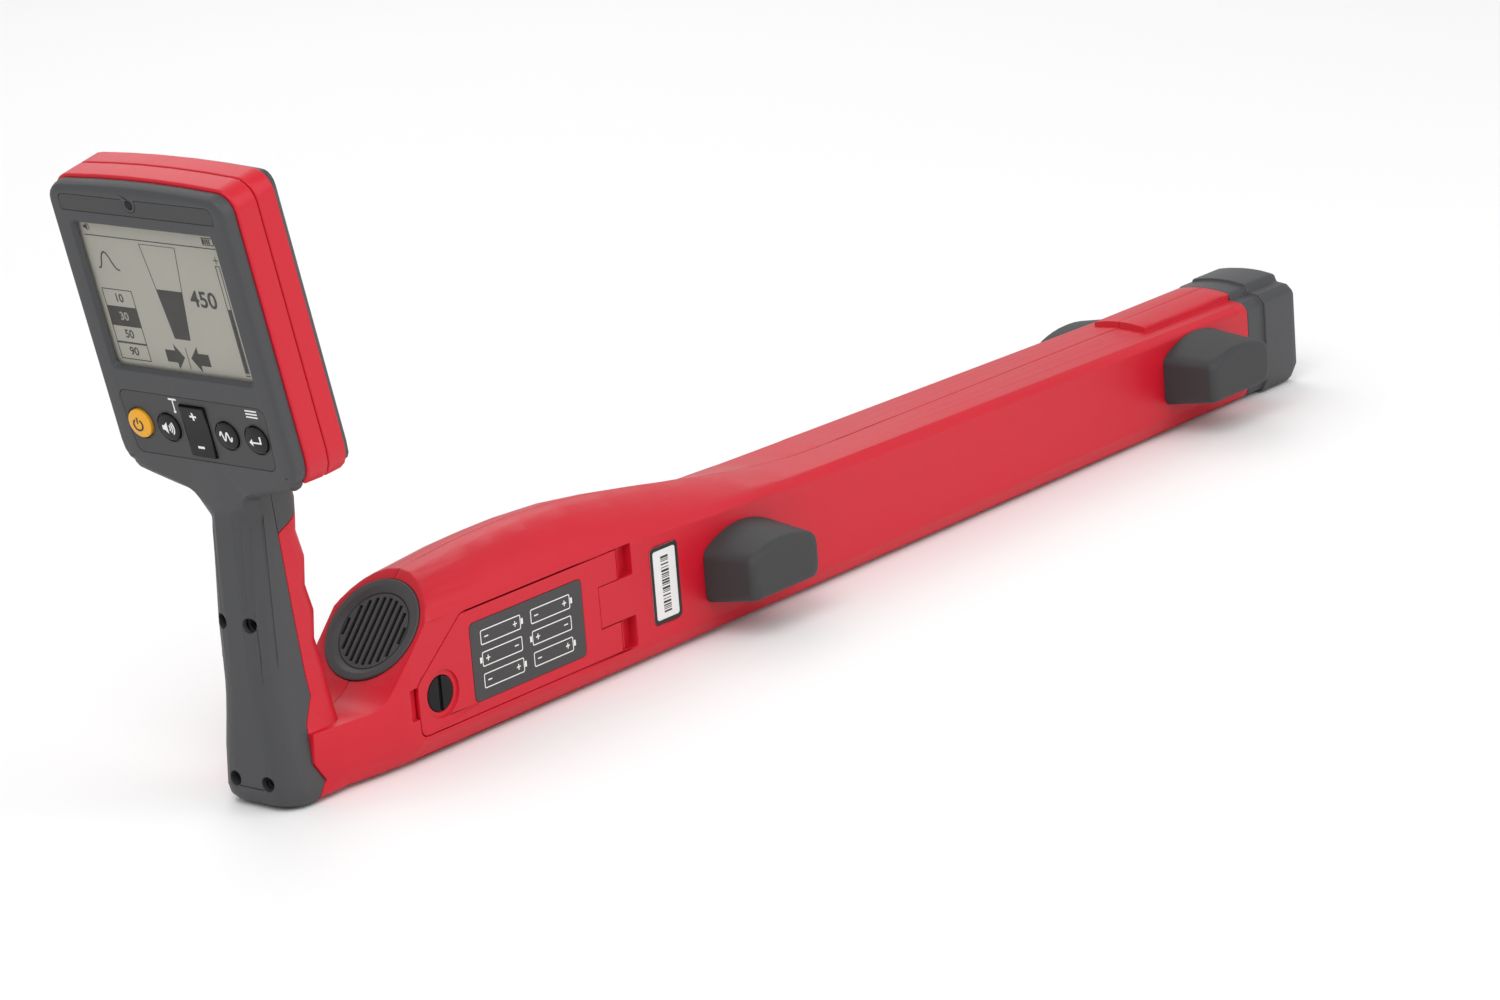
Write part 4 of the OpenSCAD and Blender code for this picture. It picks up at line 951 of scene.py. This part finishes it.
@dataclass
class SideLabel:
    """Black frame and plain bars on the white label of the right side."""

    plane: Plane = RIGHT_SIDE
    low: Point = (232.2, 17.5)
    high: Point = (252.8, 56.1)
    border: float = 2.0
    border_corners: Point = (2.8, 1.4)
    border_top: float = 0.12
    border_depth: float = 0.14
    border_edge: float = 0.06
    bars: tuple[float, ...] = (0.9, 0.4, 0.4, 0.7, 1.1, 0.4, 0.7, 0.4, 0.4, 1.1, 0.4, 0.9)
    bar_side: Point = (7.6, 13.2)
    bar_margin: float = 5.0
    bar_top: float = 0.03
    bar_depth: float = 0.06
    gap_step: int = 5
    gap_start: int = 3

    def build(self) -> None:
        """Makes the frame and the bars."""
        (x0, y0), (x1, y1) = self.low, self.high
        rims = [round_box(x0 + t, y0 + t, x1 - t, y1 - t, corner)
                for t, corner in zip((0.0, self.border), self.border_corners)]
        border = flat_piece("label_frame", rims, self.plane, self.border_top, self.border_depth)
        round_edges(border, self.border_edge)
        dress(border, "black_plastic", Body.HOUSING, Ink.FRAME)
        bars = flat_piece("label_bars", self.bar_outlines(), self.plane, self.bar_top,
                          self.bar_depth)
        dress(bars, "label_white", Body.HOUSING, Ink.BLACK)

    def bar_outlines(self) -> list[Outline]:
        """Lays bars and gaps of mixed widths along the label.

        Returns:
            One outline for each bar.
        """
        left, right = (self.low[0] + side for side in self.bar_side)
        outlines: list[Outline] = []
        y = self.low[1] + self.bar_margin
        while y < self.high[1] - self.bar_margin:
            i = len(outlines)
            thick = self.bars[i % len(self.bars)]
            outlines.append(box(left, y, right, y + thick))
            y += thick + self.bars[(self.gap_step * i + self.gap_start) % len(self.bars)]
        return outlines


@dataclass
class RoundedSolid:
    """A CAD solid whose sharp edges get the small rounding of the real moulding."""

    node: str
    body: Body
    width: float
    segments: int = 2
    limit: float = 32.0
    axis: int = 0
    cuts: tuple[float, ...] = ()
    flats: tuple[Triple, ...] = ()

    def shape(self, piece: bpy.types.Object) -> None:
        """Changes the copy before its edges are rounded; a plain moulding needs nothing."""

    def build(self) -> None:
        """Makes the piece that stands for the solid."""
        piece = merged_copy(self.node, self.node + "_moulding")
        self.shape(piece)
        slice_up(piece, self.axis, self.cuts)
        round_edges(piece, self.width, self.segments, self.limit, self.flats)
        dress(piece, SLOT_OF[self.node], self.body)
        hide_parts(self.node)


def rise(low: float, high: float, at: float) -> float:
    """Smooth step from 0 at the low end to 1 at the high end."""
    t = min(1.0, max(0.0, (at - low) / (high - low)))
    return t * t * (3.0 - 2.0 * t)


@dataclass
class RightShell(RoundedSolid):
    """Right half of the red shell, with the ends of the hinge pin's bore closed over."""

    bore: Point = (208.0, -25.8)
    radius: float = 1.25
    slack: float = 0.06
    ends: Point = (12.3, 63.0)

    def on_bore(self, point: Vector) -> bool:
        """Tells the wall of the bore's ends from the rest.

        Args:
            point: place of a point of the shell, in metres.

        Returns:
            Whether it lies on that wall.
        """
        x, y, z = point / MM
        far = abs(math.hypot(x - self.bore[0], y - self.bore[1]) - self.radius)
        return far < self.slack and not self.ends[0] < z < self.ends[1]

    def shape(self, piece: bpy.types.Object) -> None:
        """Takes the bore's wall out at both ends and fills the holes.

        Args:
            piece: copy of the shell.
        """
        wall = {point.index for point in piece.data.vertices if self.on_bore(point.co)}
        open_faces(piece, lambda face: wall.issuperset(face.vertices))
        bpy.ops.mesh.delete(type="FACE")
        bpy.ops.mesh.select_all(action="SELECT")
        bpy.ops.mesh.fill_holes(sides=0)
        close_in_triangles()


@dataclass
class HeadMoulding(RoundedSolid):
    """A moulding of the head, with its lower corners filled out as on the real one.

    Places are in millimetres on the panel: to the right, up and out of it.
    """

    plane: Plane = PANEL
    corner_side: Point = (44.0, 51.0)
    corner_low: Point = (56.0, 76.0)
    corner_drop: float = 4.5
    rear_drop: float = 4.0
    rear: Point = (4.0, 30.0)
    rear_side: Point = (34.0, 51.0)

    def move(self, place: Triple) -> Triple:
        """Lowers a point near a lower corner.

        Args:
            place: its place on the panel.

        Returns:
            The new place.
        """
        x, y, z = place
        drop = self.corner_drop * rise(*self.corner_side, abs(x))
        drop += self.rear_drop * rise(*self.rear, -z) * rise(*self.rear_side, abs(x))
        return (x, y - drop * rise(*self.corner_low, -y), z)

    def shape(self, piece: bpy.types.Object) -> None:
        """Moves the points of the copy.

        Args:
            piece: copy of the moulding.
        """
        panel = self.plane.matrix()
        back = panel.inverted()
        for point in piece.data.vertices:
            point.co = panel @ Vector(self.move(tuple(back @ point.co)))


@dataclass
class FrontShell(HeadMoulding):
    """Grey front, with the foot of its funnel run out into the round edge of the handle."""

    foot: Point = (90.0, 108.0)
    last: float = 112.0
    flat: float = 5.0
    edge: float = 12.0
    least_side: float = 0.5
    front: float = 1.0
    bend: float = 102.6
    lean: float = 0.216
    sunk: float = 0.3

    def move(self, place: Triple) -> Triple:
        """Lowers a point of the funnel's foot to the handle.

        Args:
            place: its place on the panel.

        Returns:
            The new place.
        """
        x, y, z = super().move(place)
        side = min(self.edge, max(0.0, abs(x) - self.flat))
        fall = self.edge - math.sqrt(self.edge ** 2 - side ** 2)
        handle = -fall - self.lean * (-y - self.bend) - self.sunk
        if side > self.least_side and handle < z < self.front and -y < self.last:
            z += (handle - z) * rise(*self.foot, -y)
        return (x, y, z)


@dataclass
class BackCover(HeadMoulding):
    """Grey back whose rim stands out behind the red shell."""

    back_face: float = -33.9
    spread: float = 2.4
    least: Point = (36.0, 47.0)
    spread_side: Point = (30.0, 50.0)
    spread_high: Point = (40.0, 50.0)
    spread_low: Point = (68.0, 78.0)
    screw_side: float = 47.6
    screw_rows: Point = (44.9, -46.8)
    screw_room: float = 3.4

    def move(self, place: Triple) -> Triple:
        """Moves a point of the back face's outline outwards, and leaves the screw holes.

        Args:
            place: its place on the panel.

        Returns:
            The new place.
        """
        x, y, z = super().move(place)
        hole = any(math.hypot(abs(x) - self.screw_side, y - row) < self.screw_room
                   for row in self.screw_rows)
        outer = abs(x) > self.least[0] or y > self.least[1]
        if z < self.back_face and outer and not hole:
            x += math.copysign(self.spread, x) * rise(*self.spread_side, abs(x))
            y += self.spread * (rise(*self.spread_high, y) - rise(*self.spread_low, -y))
        return (x, y, z)


@dataclass
class DoorPlate:
    """Signs for the six cells on the dark plate of the battery door."""

    plane: Plane = RIGHT_SIDE
    columns: tuple[float, ...] = (110.0, 145.0)
    rows: tuple[float, ...] = (23.0, 33.5, 44.0)
    cell: Point = (28.0, 7.2)
    corners: Point = (1.0, 0.6)
    line: float = 0.5
    nub: Point = (1.6, 2.8)
    nub_gap: float = 0.3
    sign_in: float = 4.0
    sign_reach: float = 1.4
    sign_half: float = 0.3
    top: float = 0.02
    depth: float = 0.04

    def sign(self, x: float, y: float, way: float) -> list[Outline]:
        """Outlines of one cell with its plus and minus.

        Args:
            x: middle of the cell.
            y: middle of the cell, upwards.
            way: 1 where its plus is on the right, and -1 where it is on the left.

        Returns:
            Closed outlines on the plane.
        """
        w, h = 0.5 * self.cell[0], 0.5 * self.cell[1]
        reach, half, nub = self.sign_reach, self.sign_half, 0.5 * self.nub[1]
        inner, outer = sorted(x + way * (w + far) for far in (self.nub_gap, self.nub[0]))
        minus = x - way * (w - self.sign_in)
        walls = [round_box(x - w + t, y - h + t, x + w - t, y + h - t, corner)
                 for t, corner in zip((0.0, self.line), self.corners)]
        return [*walls, box(inner, y - nub, outer, y + nub),
                plus(x + way * (w - self.sign_in), y, reach, half),
                box(minus - reach, y - half, minus + reach, y + half)]

    def build(self) -> None:
        """Makes the signs."""
        w, h = 0.5 * self.cell[0], 0.5 * self.cell[1]
        for i, y in enumerate(self.rows):
            for j, x in enumerate(self.columns):
                outlines = self.sign(x + w, y + h, -1.0 if i % 2 else 1.0)
                piece = flat_piece(f"cell_sign_{i + 1}_{j + 1}", outlines, self.plane, self.top,
                                   self.depth)
                dress(piece, "label_white", Body.DOOR, Ink.WHITE)


@dataclass(frozen=True)
class Light:
    """A square area light."""

    name: str
    place: Triple
    size: float
    power: float


@dataclass
class Studio:
    """Floor, light and camera, whose turn about X, Y and Z is in degrees."""

    eye: Triple = (-1.468972, -1.535904, 0.722441)
    turn: Triple = (74.097549, 4.349948, -50.969574)
    lens: float = 118.444
    sensor: float = 36.0
    clip: Point = (0.05, 60.0)
    sky: float = 0.7
    floor: Moulding = Moulding("floor_card", (0.9, 0.9, 0.9), 0.7, mottle=0.0)
    floor_size: float = 30.0
    floor_drop: float = 0.0004
    aim: Triple = (0.25, 0.0, 0.1)
    lights: tuple[Light, ...] = (
        Light("key_light", (-1.4, -0.9, 2.4), 1.8, 34.0),
        Light("fill_light", (0.9, -2.4, 1.6), 2.2, 26.0),
        Light("rim_light", (1.6, 1.6, 1.8), 1.6, 12.0),
    )

    def build(self) -> None:
        """Makes the stage."""
        bpy.context.scene.view_settings.view_transform = "Standard"
        self.add_sky()
        self.add_floor()
        for light in self.lights:
            self.add_light(light)
        self.add_camera()

    def add_sky(self) -> None:
        """White surroundings."""
        world = bpy.data.worlds.new("studio")
        world.use_nodes = True
        background = world.node_tree.nodes["Background"]
        background.inputs["Color"].default_value = (1.0, 1.0, 1.0, 1.0)
        background.inputs["Strength"].default_value = self.sky
        bpy.context.scene.world = world

    def add_floor(self) -> None:
        """White card under the locator."""
        bpy.ops.object.select_all(action="DESELECT")
        bpy.ops.mesh.primitive_plane_add(size=self.floor_size,
                                         location=(0.0, 0.0, -self.floor_drop))
        floor = bpy.context.object
        floor.name = "floor"
        floor.data.materials.append(self.floor.material())

    def add_light(self, light: Light) -> None:
        """Adds one light that looks at the locator.

        Args:
            light: the light.
        """
        data = bpy.data.lights.new(light.name, "AREA")
        data.size = light.size
        data.energy = light.power
        lamp = bpy.data.objects.new(light.name, data)
        lamp.location = light.place
        towards = Vector(self.aim) - Vector(light.place)
        lamp.rotation_euler = towards.to_track_quat("-Z", "Y").to_euler()
        bpy.context.scene.collection.objects.link(lamp)

    def add_camera(self) -> None:
        """Camera of the main picture."""
        lens = bpy.data.cameras.new("camera")
        lens.lens = self.lens
        lens.sensor_width = self.sensor
        lens.clip_start, lens.clip_end = self.clip
        camera = bpy.data.objects.new("camera", lens)
        axes = Euler([math.radians(angle) for angle in self.turn]).to_matrix().to_4x4()
        camera.matrix_world = Matrix.Translation(self.eye) @ axes
        bpy.context.scene.collection.objects.link(camera)
        bpy.context.scene.camera = camera


WAND_CUTS = tuple(range(56, 748, 12))
HANDLE_CUTS = (*range(14, 126, 8), 130, 134, 137)
TO_RIGHT, TO_LEFT, DOWN = (0.0, -1.0, 0.0), (0.0, 1.0, 0.0), (0.0, 0.0, -1.0)
ROUNDED = [
    RightShell("right_shell", Body.HOUSING, 0.5, cuts=WAND_CUTS, flats=(TO_RIGHT, DOWN)),
    RoundedSolid("left_shell", Body.HOUSING, 0.5, cuts=WAND_CUTS, flats=(TO_LEFT, DOWN)),
    FrontShell("front_shell", Body.HOUSING, 0.35, axis=2, cuts=HANDLE_CUTS),
    HeadMoulding("head_front_ring", Body.HOUSING, 1.2, segments=3),
    HeadMoulding("head_rear_shell", Body.HOUSING, 0.8, segments=3),
    BackCover("back_cover", Body.HOUSING, 0.4),
    RoundedSolid("tip_cap", Body.HOUSING, 0.8, segments=3),
    RoundedSolid("mid_pod_right", Body.HOUSING, 0.4),
    RoundedSolid("mid_pod_left", Body.HOUSING, 0.4),
    RoundedSolid("tip_pod_right", Body.HOUSING, 0.4),
    RoundedSolid("tip_pod_left", Body.HOUSING, 0.4),
    RoundedSolid("speaker_ring", Body.HOUSING, 0.5, segments=3, limit=20.0),
    RoundedSolid("speaker_grille", Body.HOUSING, 0.3),
    RoundedSolid("battery_door", Body.DOOR, 0.4, flats=(TO_RIGHT,)),
    RoundedSolid("door_plate", Body.DOOR, 0.12),
    RoundedSolid("door_screw", Body.DOOR_SCREW, 0.3),
    RoundedSolid("rocker_key", Body.ROCKER, 0.5),
    RoundedSolid("power_button", Body.POWER, 0.4),
    RoundedSolid("sound_button", Body.SOUND, 0.3),
    RoundedSolid("frequency_button", Body.FREQUENCY, 0.3),
    RoundedSolid("enter_button", Body.ENTER, 0.3),
]


def main() -> None:
    """Builds the stage and every piece, in order."""
    logging.basicConfig(level=logging.INFO)
    Studio().build()
    for node, solid in frame["nodes"].items():
        solid.data.materials.clear()
        solid.data.materials.append(MATERIALS[SLOT_OF[node]])
    for part in [*ROUNDED, Display(), Keypad(), SideLabel(), DoorPlate()]:
        part.build()


if __name__ == "__main__":
    main()
